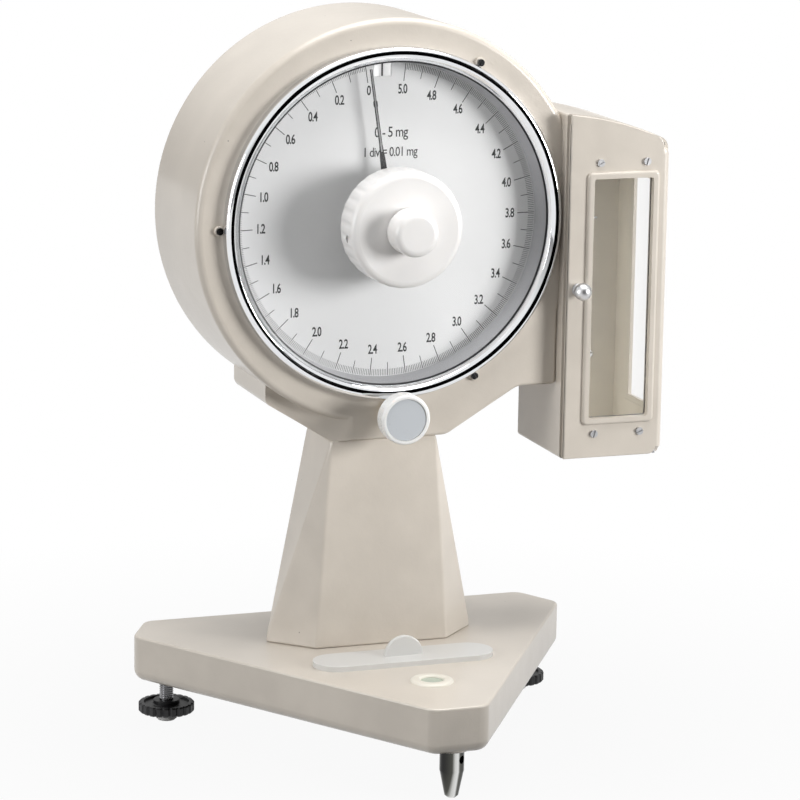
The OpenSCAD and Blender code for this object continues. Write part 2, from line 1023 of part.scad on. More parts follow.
// The beam: a flat arm to the hook on the right and a rod to the left.
module beam_arm() {
    color([0.8, 0.81, 0.83])
    difference() {
        union() {
            between(beam_y, beam_y + beam_t)
                union() {
                    polygon([[-30, beam_under], [28, beam_under], [arm_length - 7, hook_v - 0.7],
                        [arm_length - 7, hook_v + 1.1], [28, 4], [0, 6], [-30, 3]]);
                    translate([arm_length - 8, hook_v - 0.5])
                        square([14, 1]);
                }
            between(beam_y - 2, beam_y + beam_t + 2)
                circle(r = 4);
            translate([head_shift - 50, beam_y + beam_t / 2, axle_height])
                rotate([0, 90, 0])
                    cylinder(d = 2, h = 24);
            between(beam_y - 1, beam_y + beam_t + 1.6)
                translate([arm_length, hook_v])
                    circle(r = 0.6);
        }
        between(beam_y - 3, beam_y + beam_t + 3)
            circle(d = 3);
        needle_stem();
    }
}

// The needle's stem leans a little to the left and is pressed into the beam's upper edge.
module needle_stem() {
    translate([head_shift, beam_y + beam_t / 2, axle_height])
        rotate([0, -atan(2.5 / (index_v - 9.5)), 0])
            translate([0, 0, 5])
                cylinder(d = 1, h = index_v - 14, $fn = 32);
}

module counterweight() {
    color([0.8, 0.7, 0.4])
    translate([head_shift - 43, beam_y + beam_t / 2, axle_height])
        rotate([0, 90, 0])
            difference() {
                cylinder(d = 9, h = 6);
                translate([0, 0, -1])
                    cylinder(d = 2, h = 10);
            }
}

module index_needle() {
    color([0.1, 0.1, 0.1])
    needle_stem();
    translate([head_shift - 2.5, 0, axle_height + index_v - 9.5]) {
        translate([0, beam_y + beam_t / 2 + 0.5, 0])
            rotate([90, 0, 0])
                cylinder(d = 1, h = beam_y + beam_t / 2 + 9, $fn = 32);
        translate([0, -8, 0])
            cylinder(d = 1, h = 12.5, $fn = 32);
    }
}

module damping_vane() {
    y = beam_y + beam_t / 2;
    color([0.85, 0.86, 0.88])
    between(y - 0.25, y + 0.25)
        translate([-79, -12])
            square([29, 24]);
}

// A magnet bent round the vane, standing on the main plate.
module damping_magnet() {
    y = beam_y + beam_t / 2;
    color([0.6, 0.15, 0.1]) {
        between(y - 6, y - 1.4)
            translate([-84, -8])
                square([20, 16]);
        between(y + 1.4, y + 6)
            translate([-84, -8])
                square([20, 16]);
        between(y - 6, y + 6)
            translate([-86, -8])
                square([5, 16]);
        between(y + 5, plate_y)
            translate([-82, -5])
                square([14, 10]);
    }
}

module stop_pins() {
    swing = 28 * sin(beam_tip) + 1.3;
    color([0.7, 0.7, 0.72])
    between(beam_y - 2, plate_y)
        for (v = [3.2 + swing, beam_under - swing])
            translate([-28, v])
                circle(r = 1);
}

module weighing_pan() {
    eye_y = beam_y + beam_t + 0.3;
    pin_d = 1.2;
    color([0.85, 0.85, 0.87])
    translate([arm_length, 0, 0]) {
        between(eye_y, eye_y + 0.9)
            difference() {
                union() {
                    translate([0, hook_v])
                        circle(r = 1.8);
                    translate([-0.4, pan_v + 8])
                        square([0.8, hook_v - pan_v - 9]);
                }
                translate([0, hook_v])
                    circle(d = pin_d + 2 * running_clearance);
            }
        translate([head_shift, eye_y + 0.45, axle_height]) {
            for (s = [-1, 1])
                translate([0, 0, pan_v + 8])
                    rotate([0, s * atan((pan_dia / 2 - 0.6) / 8) + 180, 0])
                        cylinder(d = 0.8, h = sqrt(64 + pow(pan_dia / 2 - 0.6, 2)), $fn = 24);
            translate([0, 0, pan_v - 1.5])
                difference() {
                    cylinder(d = pan_dia, h = 1.8);
                    translate([0, 0, 0.5])
                        cylinder(d = pan_dia - 1, h = 2);
                }
        }
    }
}

// The arrest.

fork_y = beam_y;
fork_t = 2;
fork_foot_v = lock_v - fork_lift / 2;

module arrest_fork() {
    pad_u = 14;
    pad_top = beam_under - (pad_u + 2) * sin(beam_tip) - 0.1 - fork_lift;
    color([0.8, 0.7, 0.4])
    difference() {
        between(fork_y, fork_y + fork_t)
            union() {
                for (s = [-1, 1])
                    translate([pad_u * s - 2, -13])
                        square([4, pad_top + 13]);
                translate([-pad_u - 2, -15])
                    square([2 * pad_u + 4, 5]);
                translate([-5, fork_foot_v])
                    square([10, -12 - fork_foot_v]);
                translate([0, fork_foot_v])
                    box2d(18, 12, 2);
            }
        between(fork_y - 1, fork_y + fork_t + 1)
            for (v = guide_vs)
                translate([0, v + fork_lift / 2 - fork_lift])
                    rotate(90)
                        slot2d(4 + fork_lift + 2 * free_gap, 4 + 0.4);
        between(fork_y - 1, fork_y + fork_t + 1)
            translate([crank_throw * 0.85, fork_foot_v])
                slot2d(crank_pin_d + crank_throw + 1.5, crank_pin_d + 0.5);
    }
}

guide_vs = [lock_v + 61.5, lock_v + 27.5];

module arrest_guides() {
    color([0.7, 0.7, 0.72])
    for (v = guide_vs)
        translate([0, 0, v]) {
            between(fork_y - 0.3, plate_y)
                circle(r = 2);
            between(fork_y - 2, fork_y - 0.3)
                circle(r = 4);
            between(fork_y + fork_t + 0.3, plate_y)
                circle(r = 4);
        }
}

module lock_shaft() {
    collar_y = fork_y - 4;
    color([0.75, 0.75, 0.77])
    translate([0, 0, lock_v]) {
        between(lock_back_y - lock_grip, collar_y + eps)
            circle(d = lock_shaft_dia);
        between(collar_y, fork_y - 1)
            circle(r = 5);
        between(fork_y - 1 - eps, fork_y + fork_t + 1)
            translate(crank_throw * [cos(45), -sin(45)])
                circle(d = crank_pin_d);
    }
}

module lock_bush() {
    color([0.78, 0.65, 0.35])
    translate([0, 0, lock_v])
        difference() {
            union() {
                between(face_y, face_y + wall + 6)
                    circle(r = 6);
                between(face_y - 2, face_y)
                    circle(r = bush_flange_r);
            }
            between(face_y - 3, face_y + wall + 7)
                circle(d = lock_shaft_dia + 2 * running_clearance);
        }
}

lock_back_y = face_y - 17;
lock_len = 9;
lock_grip = 6;
lock_cap_r = lock_knob_dia / 2 - 2.5;

module lock_knob() {
    r = lock_knob_dia / 2;
    edge = 1.6;
    color([0.93, 0.92, 0.91])
    translate([0, 0, lock_v])
        difference() {
            union() {
                facing(lock_back_y)
                    rotate_extrude()
                        union() {
                            square([r, lock_len - edge]);
                            square([r - edge, lock_len]);
                            translate([r - edge, lock_len - edge])
                                circle(r = edge);
                        }
                between(lock_back_y - eps, face_y - 2.5)
                    circle(r = bush_flange_r - 0.4);
            }
            between(lock_back_y - lock_len - 1, lock_back_y - lock_len + 1.5)
                circle(r = lock_cap_r);
            between(lock_back_y - lock_grip, face_y)
                circle(d = lock_shaft_dia);
        }
}

module lock_knob_cap() {
    color([0.75, 0.76, 0.78])
    translate([0, 0, lock_v])
        between(lock_back_y - lock_len + 0.5, lock_back_y - lock_len + 1.5)
            circle(r = lock_cap_r);
}

// The weighing box and its door.

// The box seen from the front, its top an arc, drawn in by t.
module box_face(u1, u2, v1, r) {
    intersection() {
        translate([u1, v1])
            square([u2 - u1, 400]);
        translate([arch_u, arch_v])
            circle(r = r, $fn = 180);
    }
}

// The box's outline seen from above, with the ear that takes the hinge pin.
module box_plan() {
    translate([head_shift, 0]) {
        translate([box_u, box_y])
            square([box_width, box_depth]);
        translate([hinge_u, hinge_y])
            circle(r = barrel_r - 0.2);
    }
}

module weigh_box() {
    color([0.76, 0.72, 0.67])
    difference() {
        intersection() {
            between(door_y - 1, box_y2)
                box_face(box_u, box_u2, box_v, box_arch_r);
            translate([0, 0, box_floor - 1])
                linear_extrude(height = 300)
                    box_plan();
        }
        intersection() {
            between(door_y - 2, box_y2 - sheet)
                box_face(box_u + sheet, box_u2 + 1, box_v + sheet, box_arch_r - sheet);
            translate([head_shift + box_u, door_y - 3, box_floor - 1])
                linear_extrude(height = 300) {
                    square([box_width - sheet, box_y2 - door_y + 3]);
                    square([box_width + 2, hinge_y + barrel_r + 2 * free_gap - door_y + 3]);
                }
        }
        beam_window();
        box_screw_places()
            rotate([0, 90, 0])
                translate([0, 0, -1])
                    cylinder(d = 4, h = sheet + 2);
        translate([head_shift + hinge_u, hinge_y, box_floor - 1])
            cylinder(d = hinge_pin_dia, h = 250);
        translate([head_shift + box_u2 - sheet - 1, side_y1, side_z1])
            cube([sheet + 2, side_y2 - side_y1, side_z2 - side_z1]);
    }
}

module box_screw_places() {
    for (y = box_screw_ys, v = box_screw_vs)
        translate([head_shift + flat_u, y, axle_height + v])
            children();
}

module box_screws() {
    color([0.6, 0.6, 0.62])
    box_screw_places()
        translate([sheet, 0, 0])
            rotate([0, 90, 0])
                slotted_screw(4, sheet + wall - 0.5, 7, 2.2);
}

module side_glass() {
    color([0.85, 0.9, 0.92, 0.3])
    translate([head_shift + box_u2 - sheet - 1.5, side_y1 - side_lap, side_z1 - side_lap])
        cube([1.5, side_y2 - side_y1 + 2 * side_lap, side_z2 - side_z1 + 2 * side_lap]);
}

module door() {
    plate = 2;
    rim = 3.8;
    raised = 1.8;
    flange = 1.8;
    color([0.78, 0.74, 0.69])
    difference() {
        union() {
            difference() {
                union() {
                    between(door_y, door_y + plate)
                        box_face(door_u, hinge_u, door_v, door_arch_r);
                    between(door_y + plate - eps, door_y + plate + flange)
                        difference() {
                            box_face(door_u, hinge_u - barrel_r - 2, door_v, door_arch_r);
                            box_face(door_u + 1.5, hinge_u, door_v + 1.5, door_arch_r - 1.5);
                        }
                    between(door_y - raised, door_y + eps)
                        translate([open_u, open_v])
                            box2d(open_w + 2 * rim, door_open_h + 2 * rim, 3);
                }
                translate([head_shift + hinge_u, hinge_y, axle_height + barrel_top])
                    cylinder(r = barrel_r + free_gap, h = 60);
            }
            translate([head_shift + hinge_u, hinge_y, axle_height + door_v])
                cylinder(r = barrel_r, h = barrel_top - door_v);
        }
        between(door_y - raised - 1, door_y + plate + 1)
            translate([open_u, open_v])
                box2d(open_w, door_open_h, 1.5);
        between(door_y - 1, door_y + plate + 1)
            door_screw_places()
                circle(d = 2.2);
        translate([head_shift + hinge_u, hinge_y, axle_height + door_v - 1])
            cylinder(d = hinge_pin_dia + 2 * running_clearance, h = 250);
        between(door_y - 1, door_y + plate + 1)
            translate([knob_u, knob_v])
                circle(d = 3);
    }
}

module door_screw_places() {
    for (s = [-1, 1], t = [-1, 1])
        translate([open_u + door_screw_u * s, open_v + (door_open_h / 2 + door_screw_gap) * t])
            children();
}

module door_glass() {
    color([0.85, 0.9, 0.92, 0.25])
    between(door_y + 2, door_y + 3.5)
        translate([open_u, open_v])
            square([open_w + 4, door_open_h + 6], center = true);
}

// The frame behind the glass, thick at its ends where the screws go in.
module door_retainer() {
    ends = door_open_h / 2 + door_screw_gap - 5;
    color([0.6, 0.58, 0.55])
    difference() {
        union() {
            between(door_y + 3.5, door_y + 4.5)
                difference() {
                    translate([open_u, open_v])
                        square([open_w + 4, 2 * ends + 20], center = true);
                    translate([open_u, open_v])
                        square([open_w, door_open_h], center = true);
                }
            for (s = [-1, 1])
                between(door_y + 2, door_y + 3.5 + eps)
                    translate([open_u, open_v + s * (ends + 5)])
                        square([open_w + 4, 9.6], center = true);
        }
        between(door_y + 1, door_y + 6)
            door_screw_places()
                circle(d = 2.2);
    }
}

module door_screws() {
    color([0.7, 0.7, 0.68])
    for (s = [-1, 1], t = [-1, 1])
        facing(door_y)
            translate([open_u + door_screw_u * s, open_v + (door_open_h / 2 + door_screw_gap) * t, 0])
                rotate([0, 0, 50 + 25 * s * t])
                    slotted_screw(2.2, 4.5, 4.4, 1.2);
}

module door_knob() {
    stand = 8;
    r = ball_dia / 2;
    color([0.75, 0.75, 0.77])
    facing(door_y + 3)
        translate([knob_u, knob_v, 0])
            rotate_extrude()
                union() {
                    square([1.5, 3.5]);
                    translate([0, 3])
                        square([3.5, 1.5]);
                    translate([0, 3])
                        square([2, stand]);
                    intersection() {
                        translate([0, 3 + stand])
                            circle(r = r);
                        translate([0, 3])
                            square([r + 1, stand + r + 1]);
                    }
                }
}

module hinge_pin() {
    color([0.6, 0.6, 0.62])
    translate([head_shift + hinge_u, hinge_y, box_floor])
        cylinder(d = hinge_pin_dia, h = barrel_top - box_v + 2);
}

base_casting();
column();
column_bolts();
front_foot();
left_foot_screw();
left_foot_wheel();
left_foot_pad();
right_foot_screw();
right_foot_wheel();
right_foot_pad();
level_ring();
level_vial();
tray_lid();
housing();
rear_cover();
rear_cover_screws();
bezel();
bezel_screws();
front_glass();
reveal_ring();
dial_plate();
index_screen();
dial_pillars();
main_plate();
main_plate_screws();
front_bridge();
cock_plate();
bridge_pillars();
shaft_bush();
beam_jewels();
reading_shaft();
reading_knob();
knob_set_screw();
pointer();
zero_knob();
zero_shaft();
hairspring();
beam_spindle();
beam_arm();
counterweight();
index_needle();
damping_vane();
damping_magnet();
stop_pins();
weighing_pan();
arrest_fork();
arrest_guides();
lock_shaft();
lock_bush();
lock_knob();
lock_knob_cap();
weigh_box();
box_screws();
side_glass();
door();
door_glass();
door_retainer();
door_screws();
door_knob();
hinge_pin();
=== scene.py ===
# %% [markdown]
# # A torsion balance
# The balance stands on three feet. A faceted column carries a drum-shaped head, and the head holds the
# dial, the two knobs and, on its right, a tall weighing box with a glazed door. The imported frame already
# holds the exact solids, so this script dresses them: it gives softer bodies to the pieces the eye
# rests on, and a finish with some depth to everything else.

import math

import bmesh
import bpy
from mathutils import Matrix, Vector


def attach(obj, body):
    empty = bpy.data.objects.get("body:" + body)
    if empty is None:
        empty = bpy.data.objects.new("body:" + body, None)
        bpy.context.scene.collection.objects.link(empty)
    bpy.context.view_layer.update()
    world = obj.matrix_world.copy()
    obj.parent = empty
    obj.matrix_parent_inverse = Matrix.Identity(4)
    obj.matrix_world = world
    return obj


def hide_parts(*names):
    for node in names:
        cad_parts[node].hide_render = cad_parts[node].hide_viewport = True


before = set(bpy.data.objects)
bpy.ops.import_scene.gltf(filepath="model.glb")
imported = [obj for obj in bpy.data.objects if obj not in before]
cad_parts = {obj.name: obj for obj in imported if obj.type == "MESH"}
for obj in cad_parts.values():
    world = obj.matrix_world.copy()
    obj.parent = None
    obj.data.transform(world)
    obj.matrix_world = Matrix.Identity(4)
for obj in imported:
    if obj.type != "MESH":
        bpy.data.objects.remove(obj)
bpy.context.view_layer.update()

# %% [markdown]
# ## A way to write finishes
# A finish is a tree of shader nodes. Wiring them by hand hides the idea behind dozens of links, so a
# small class stands for one socket and lets sums be written as sums. Numbers that hold all over a
# surface are put on the shader's own sockets, and only what changes from place to place is wired.


# %% A socket that can be used in a sum
class Wire:
    def __init__(self, finish, socket):
        self.finish = finish
        self.socket = socket

    def maths(self, operation, *values):
        return self.finish.node("ShaderNodeMath", {"operation": operation}, dict(enumerate(values)))

    def __add__(self, other):
        return self.maths("ADD", self, other)

    def __sub__(self, other):
        return self.maths("SUBTRACT", self, other)

    def __rsub__(self, other):
        return self.maths("SUBTRACT", other, self)

    def __mul__(self, other):
        return self.maths("MULTIPLY", self, other)

    def above(self, limit):
        return self.maths("GREATER_THAN", self, limit)



# %% A finish and its nodes
class Finish:
    def __init__(self, name, **sockets):
        self.material = bpy.data.materials.new(name)
        self.material.use_nodes = True
        self.tree = self.material.node_tree
        self.tree.nodes.clear()
        self.skin = self.tree.nodes.new("ShaderNodeBsdfPrincipled")
        end = self.tree.nodes.new("ShaderNodeOutputMaterial")
        self.tree.links.new(self.skin.outputs[0], end.inputs[0])
        for key, value in sockets.items():
            self.put(self.skin.inputs[key.replace("_", " ")], value)
        self.place = self.node("ShaderNodeTexCoord", out="Object")

    def put(self, socket, value):
        if isinstance(value, Wire):
            self.tree.links.new(value.socket, socket)
        elif socket.type == "RGBA" and len(value) == 3:
            socket.default_value = (*value, 1)
        else:
            socket.default_value = value

    def node(self, kind, settings=None, values=None, out=0, stops=None):
        made = self.tree.nodes.new(kind)
        for key, value in (settings or {}).items():
            setattr(made, key, value)
        if stops:
            ramp = made.color_ramp.elements
            while len(ramp) < len(stops):
                ramp.new(0.5)
            for stop, (where, colour) in zip(ramp, stops):
                stop.position = where
                stop.color = (*colour, 1)
        for key, value in (values or {}).items():
            self.put(made.inputs[key], value)
        return Wire(self, made.outputs[out])

    def noise(self, scale, detail=3.0, rough=0.5, place=None):
        values = {"Vector": place or self.place, "Scale": scale, "Detail": detail, "Roughness": rough}
        return self.node("ShaderNodeTexNoise", values=values, out="Fac")

    def stretched(self, x, y, z):
        return self.node("ShaderNodeMapping", values={"Vector": self.place, "Scale": (x, y, z)})

    def mix(self, amount, first, second):
        values = {0: amount, 6: first, 7: second}
        for key in (6, 7):
            if not isinstance(values[key], Wire):
                values[key] = (*values[key], 1)
        return self.node("ShaderNodeMix", {"data_type": "RGBA"}, values, out=2)

    def span(self, value, low, high, start=0.0, end=1.0):
        values = {0: value, 1: low, 2: high, 3: start, 4: end}
        return self.node("ShaderNodeMapRange", values=values)

    def wear(self, key, value):
        self.put(self.skin.inputs[key], value)

    def bump(self, height, distance, strength=1.0):
        values = {"Height": height, "Distance": distance, "Strength": strength}
        self.wear("Normal", self.node("ShaderNodeBump", values=values))


def tone(red, green, blue):
    """A colour read off a screen, 0 to 255, as the light it stands for."""
    shares = [c / 255 for c in (red, green, blue)]
    return tuple(c / 12.92 if c < 0.0405 else ((c + 0.055) / 1.055) ** 2.4 for c in shares)


print("finishes can be written")

# %% [markdown]
# ## Enamel
# The castings and the box wear the same warm grey enamel. Sprayed enamel is never flat: it dries with
# a fine orange peel, it carries a few dust nibs and pits, and its tone drifts a little over a hand's
# width. The casting's skin is rougher than the sheet metal's, so the two share one recipe with
# different amounts. Inside the weighing box the enamel is a much lighter copy, as painted light for
# the light that comes in through the side window.


# %% Enamel
def enamel(name, colour, peel, pits):
    made = Finish(name, IOR=1.5, Coat_Roughness=0.12)
    drift = made.noise(14, 2)
    cloud = made.noise(60, 3)
    lighter = tuple(min(1, c * 1.05) for c in colour)
    darker = tuple(c * 0.95 for c in colour)
    base = made.mix(made.span(drift * 0.6 + cloud * 0.4, 0.38, 0.62), darker, lighter)
    speck = made.node("ShaderNodeTexVoronoi", values={"Vector": made.place, "Scale": 130}, out="Distance")
    rare = made.node("ShaderNodeTexVoronoi", values={"Vector": made.place, "Scale": 130}, out="Color")
    chosen = made.node("ShaderNodeSeparateColor", values={0: rare}).above(1 - pits)
    pit = (1 - speck.above(0.055)) * chosen
    made.wear("Base Color", made.mix(pit, base, tuple(c * 0.45 for c in colour)))
    grain = made.noise(900, 2)
    made.wear("Roughness", made.span(grain * 0.5 + cloud * 0.5, 0.3, 0.7, 0.3, 0.4))
    made.wear("Coat Weight", made.span(cloud, 0.3, 0.7, 0.25, 0.4))
    made.bump(grain * peel + made.noise(260, 2) * peel * 2 - pit * 2, 0.00006, 0.55)
    return made


casting_paint = enamel("casting_paint", tone(201, 193, 182), 1.0, 0.05)
sheet_paint = enamel("sheet_paint", tone(200, 192, 181), 0.6, 0.012)
# Painted light: the box's inside is a much lighter copy of the enamel, standing for the light the side window
# lets in.
inside_painted_light = enamel("inside_painted_light", tone(250, 245, 235), 0.6, 0.0)
print("enamel ready")

# %% [markdown]
# ## Metals
# Chrome is almost a mirror, so its own nodes only add the faint haze and the hair scratches that a
# wiping cloth leaves. Turned steel shows rings, and on the front foot its colour carries painted
# reflection: dark at both sides and bright just left of the middle, as the camera sees it. Brass and
# aluminium are kept for the movement inside, and carry a lengthwise brushed grain.


# %% Metals
def metal(name, colour, low, high, grain, stretch=(1, 1, 1)):
    made = Finish(name, Metallic=1.0)
    streak = made.noise(grain, 3, 0.6, made.stretched(*stretch))
    haze = made.noise(70, 3)
    made.wear("Base Color", made.mix(haze, tuple(c * 0.94 for c in colour), colour))
    made.wear("Roughness", made.span(streak * 0.6 + haze * 0.4, 0.3, 0.7, low, high))
    made.bump(streak, 0.000012, 0.35)
    return made


chrome = metal("chrome", (0.83, 0.84, 0.86), 0.03, 0.09, 500)
steel = metal("steel", (0.56, 0.56, 0.58), 0.2, 0.34, 900, (1, 1, 6))
dark_steel = metal("dark_steel", (0.3, 0.3, 0.31), 0.16, 0.26, 900)
satin_steel = metal("satin_steel", (0.62, 0.62, 0.63), 0.3, 0.4, 400)
aluminium = metal("aluminium", (0.72, 0.73, 0.75), 0.28, 0.42, 600, (1, 1, 5))
brass = metal("brass", (0.71, 0.52, 0.23), 0.16, 0.3, 700, (1, 4, 1))
spring_steel = metal("spring_steel", (0.3, 0.34, 0.46), 0.18, 0.28, 800)
turned_steel = metal("turned_steel", (0.3, 0.3, 0.3), 0.12, 0.2, 1200, (1, 1, 8))
# Painted reflection: across the front foot, as the camera sees it, the colour runs dark at both sides with a
# bright band left of the middle, as a turned peg reflects a studio.
across = turned_steel.node(
    "ShaderNodeVectorMath", {"operation": "DOT_PRODUCT"},
    {0: turned_steel.place, 1: (0.941, 0.339, 0)}, out="Value",
)
painted_reflection_bands = [
    (0.0, (0.03, 0.03, 0.03)), (0.2, (0.08, 0.08, 0.07)), (0.3, (0.6, 0.6, 0.58)),
    (0.42, (0.75, 0.75, 0.74)), (0.5, (0.12, 0.12, 0.11)), (0.72, (0.03, 0.03, 0.03)),
    (0.9, (0.3, 0.29, 0.27)), (1.0, (0.05, 0.05, 0.05)),
]
from_left = turned_steel.span(across, -0.0537, -0.0403)
painted_reflection = turned_steel.node("ShaderNodeValToRGB", {}, {0: from_left}, stops=painted_reflection_bands)
turned_steel.wear("Base Color", painted_reflection)
magnet_steel = metal("magnet_steel", (0.24, 0.24, 0.26), 0.35, 0.5, 400)
print("metals ready")

# %% [markdown]
# ## Plastics, glass and the dial's paint
# The knobs are glossy white mouldings that let a little light in, so they get a weak subsurface glow.
# Black mouldings shine with a fine texture. The glass is thin and clear, with dust that only shows as a
# slight change in roughness. The dial is matt white lacquer, and its ink is a soft black.


# %% Plastics
def plastic(name, colour, low, high, glow=0.0, coat=0.0, peel=0.00002):
    made = Finish(name, IOR=1.48, Subsurface_Weight=glow, Coat_Roughness=0.06)
    made.skin.inputs["Subsurface Radius"].default_value = (0.004, 0.0036, 0.0032)
    made.skin.inputs["Subsurface Scale"].default_value = 1.0
    flow = made.noise(45, 2)
    fine = made.noise(1300, 2)
    made.wear("Base Color", made.mix(flow, tuple(c * 0.965 for c in colour), colour))
    made.wear("Roughness", made.span(fine * 0.5 + flow * 0.5, 0.3, 0.7, low, high))
    made.wear("Coat Weight", made.span(flow, 0.3, 0.7, coat, coat * 1.2))
    made.bump(fine + flow * 3, peel, 0.4)
    return made


white_plastic = plastic("white_plastic", tone(235, 233, 231), 0.28, 0.38, 0.12, 0.25)
milky_plastic = plastic("milky_plastic", tone(232, 232, 230), 0.24, 0.34, 0.3, 0.3)
lid_plastic = plastic("lid_plastic", tone(206, 205, 202), 0.3, 0.38, 0.0, 0.1, 0.000001)
cream_plastic = plastic("cream_plastic", tone(220, 215, 203), 0.3, 0.4, 0.1, 0.25)
black_plastic = plastic("black_plastic", (0.004, 0.004, 0.005), 0.38, 0.5)
pale_rubber = plastic("pale_rubber", tone(222, 222, 220), 0.5, 0.6)
dial_paint = plastic("dial_paint", tone(243, 243, 243), 0.5, 0.62, 0.0, 0.0)
needle_black = plastic("needle_black", (0.02, 0.02, 0.022), 0.35, 0.5)
dial_ink = plastic("dial_ink", tone(34, 33, 34), 0.5, 0.65)
# Painted shade: the reveal ring's grey is darker than its metal and stands for the shadow its inner side lies
# in.
painted_shade_grey = plastic("painted_shade_grey", tone(186, 186, 189), 0.35, 0.5)
# Painted light: the index screen's white glows faintly, so the window behind the dial reads bright although
# little light reaches it.
painted_glow_white = plastic("painted_glow_white", tone(245, 245, 245), 0.5, 0.62)
painted_glow_white.skin.inputs["Emission Color"].default_value = (1, 1, 1, 1)
painted_glow_white.skin.inputs["Emission Strength"].default_value = 0.45
ruby = plastic("ruby", (0.45, 0.015, 0.05), 0.08, 0.14, 0.0, 0.5)
cap_grey = plastic("cap_grey", tone(190, 194, 198), 0.25, 0.35, 0.0, 0.2)
print("plastics ready")


# %% Glass
def glass(name, tint, least, most):
    made = Finish(name, IOR=1.45, Coat_Roughness=0.02)
    dust = made.noise(300, 3)
    glance = made.node("ShaderNodeFresnel", values={"IOR": 1.45})
    made.wear("Base Color", made.mix(dust, tint, tuple(c * 0.97 for c in tint)))
    made.wear("Roughness", made.span(dust, 0.55, 0.75, 0.01, 0.06))
    made.wear("Alpha", made.span(glance, 0.03, 0.6, least, most))
    return made


clear_glass = glass("glass", (0.93, 0.95, 0.945), 0.02, 0.25)
side_clear = glass("side_clear", (0.96, 0.97, 0.965), 0.0, 0.1)
vial_glass = glass("vial", tone(196, 206, 190), 0.75, 0.95)
print("glass ready")

# %% [markdown]
# ## Working in millimetres
# The drawing of the real object is in millimetres, measured from the rest plane. Shapes are made in
# those numbers and shrunk to metres once, when a piece is finished. The head has its own centre, the
# dial's axle, and the front view counts from there.

# %% Places on the object
axle = Vector((3, 0, 294))
face_y = -24
rear_y = 56
drum_r = 113.5
flat_u = 98.8
base_low, base_top = 26.9, 53.4
column_top = 172.5


def seen(u, v, y):
    """A point of the front view, counted from the axle, at depth y."""
    return Vector((axle.x + u, y, axle.z + v))


print("axle at", tuple(axle))

# %% [markdown]
# ## Four helpers
# Most pieces here are turned, or cut from an outline and given a depth. Edges are rounded afterwards,
# as a file or the paint would do. Where one closed shape is cut from another, Blender's exact boolean
# does it on two throwaway objects.


# %% Turned shapes
def turned(profile, centre, axis, steps=96, closed=False):
    """Spin a profile of (radius, height) points round the Y or the Z axis through a centre."""
    shape = bmesh.new()
    centre = Vector(centre)
    line = []
    for r, h in profile:
        place = (centre.x + r, h, centre.z) if axis == "Y" else (centre.x + r, centre.y, h)
        line.append(shape.verts.new(place))
    pairs = list(zip(line, line[1:])) + ([(line[-1], line[0])] if closed else [])
    edges = [shape.edges.new(pair) for pair in pairs]
    way = (0, 1, 0) if axis == "Y" else (0, 0, 1)
    bmesh.ops.spin(
        shape, geom=line + edges, cent=centre, axis=way, angle=2 * math.pi, steps=steps, use_merge=True,
    )
    bmesh.ops.remove_doubles(shape, verts=shape.verts, dist=0.001)
    bmesh.ops.recalc_face_normals(shape, faces=shape.faces)
    return shape


# %% Flat shapes with a depth
def raised(items):
    """The points among what an extrusion made."""
    return [item for item in items if isinstance(item, bmesh.types.BMVert)]


def cut_edges(items):
    """The edges along which a plane cut a shape."""
    return [item for item in items if isinstance(item, bmesh.types.BMEdge)]


def cut_out(outline, start, depth):
    """A flat outline of 3-D points in one plane, pushed along a depth vector into a solid."""
    shape = bmesh.new()
    corners = [shape.verts.new(Vector(point) + Vector(start)) for point in outline]
    flat = shape.faces.new(corners)
    pushed = bmesh.ops.extrude_face_region(shape, geom=[flat], use_keep_orig=True)
    bmesh.ops.translate(shape, verts=raised(pushed["geom"]), vec=depth)
    bmesh.ops.recalc_face_normals(shape, faces=shape.faces)
    return shape


# %% Rounding edges
def soften(shape, edges, radius, segments=4):
    """Round edges to a radius. The bevel's reach depends on the angle the edge stands at."""
    edges = [edge for edge in edges if edge.is_valid and len(edge.link_faces) == 2]
    if not edges:
        raise ValueError("no edge to soften")
    angle = max(edge.calc_face_angle(0) for edge in edges)
    reach = radius * math.tan(angle / 2)
    bmesh.ops.bevel(
        shape, geom=edges, offset=reach, offset_type="OFFSET", affect="EDGES",
        segments=segments, profile=0.5, material=-1, clamp_overlap=True,
    )
    return shape


def sharp(shape, test=lambda middle: True, least=25):
    """The edges that turn by more than an angle and whose middle passes a test."""
    found = []
    for edge in shape.edges:
        if len(edge.link_faces) == 2 and math.degrees(edge.calc_face_angle(0)) > least:
            if test((edge.verts[0].co + edge.verts[1].co) / 2):
                found.append(edge)
    return found


# %% Joining and cutting
def combine(kept, other, operation):
    """Join two closed shapes, or cut one from the other, and give back the result."""
    ends = []
    for shape in (kept, other):
        mesh = bpy.data.meshes.new("working")
        shape.to_mesh(mesh)
        shape.free()
        ends.append(bpy.data.objects.new("working", mesh))
        bpy.context.scene.collection.objects.link(ends[-1])
    change = ends[0].modifiers.new("combine", "BOOLEAN")
    change.operation, change.object, change.solver = operation, ends[1], "EXACT"
    whole = bmesh.new()
    whole.from_mesh(ends[0].evaluated_get(bpy.context.evaluated_depsgraph_get()).to_mesh())
    for end in ends:
        bpy.data.objects.remove(end)
    return whole


def joined(*shapes):
    """Several separate shapes in one bmesh, without cutting them."""
    whole = shapes[0]
    for shape in shapes[1:]:
        mesh = bpy.data.meshes.new("working")
        shape.to_mesh(mesh)
        shape.free()
        whole.from_mesh(mesh)
        bpy.data.meshes.remove(mesh)
    return whole


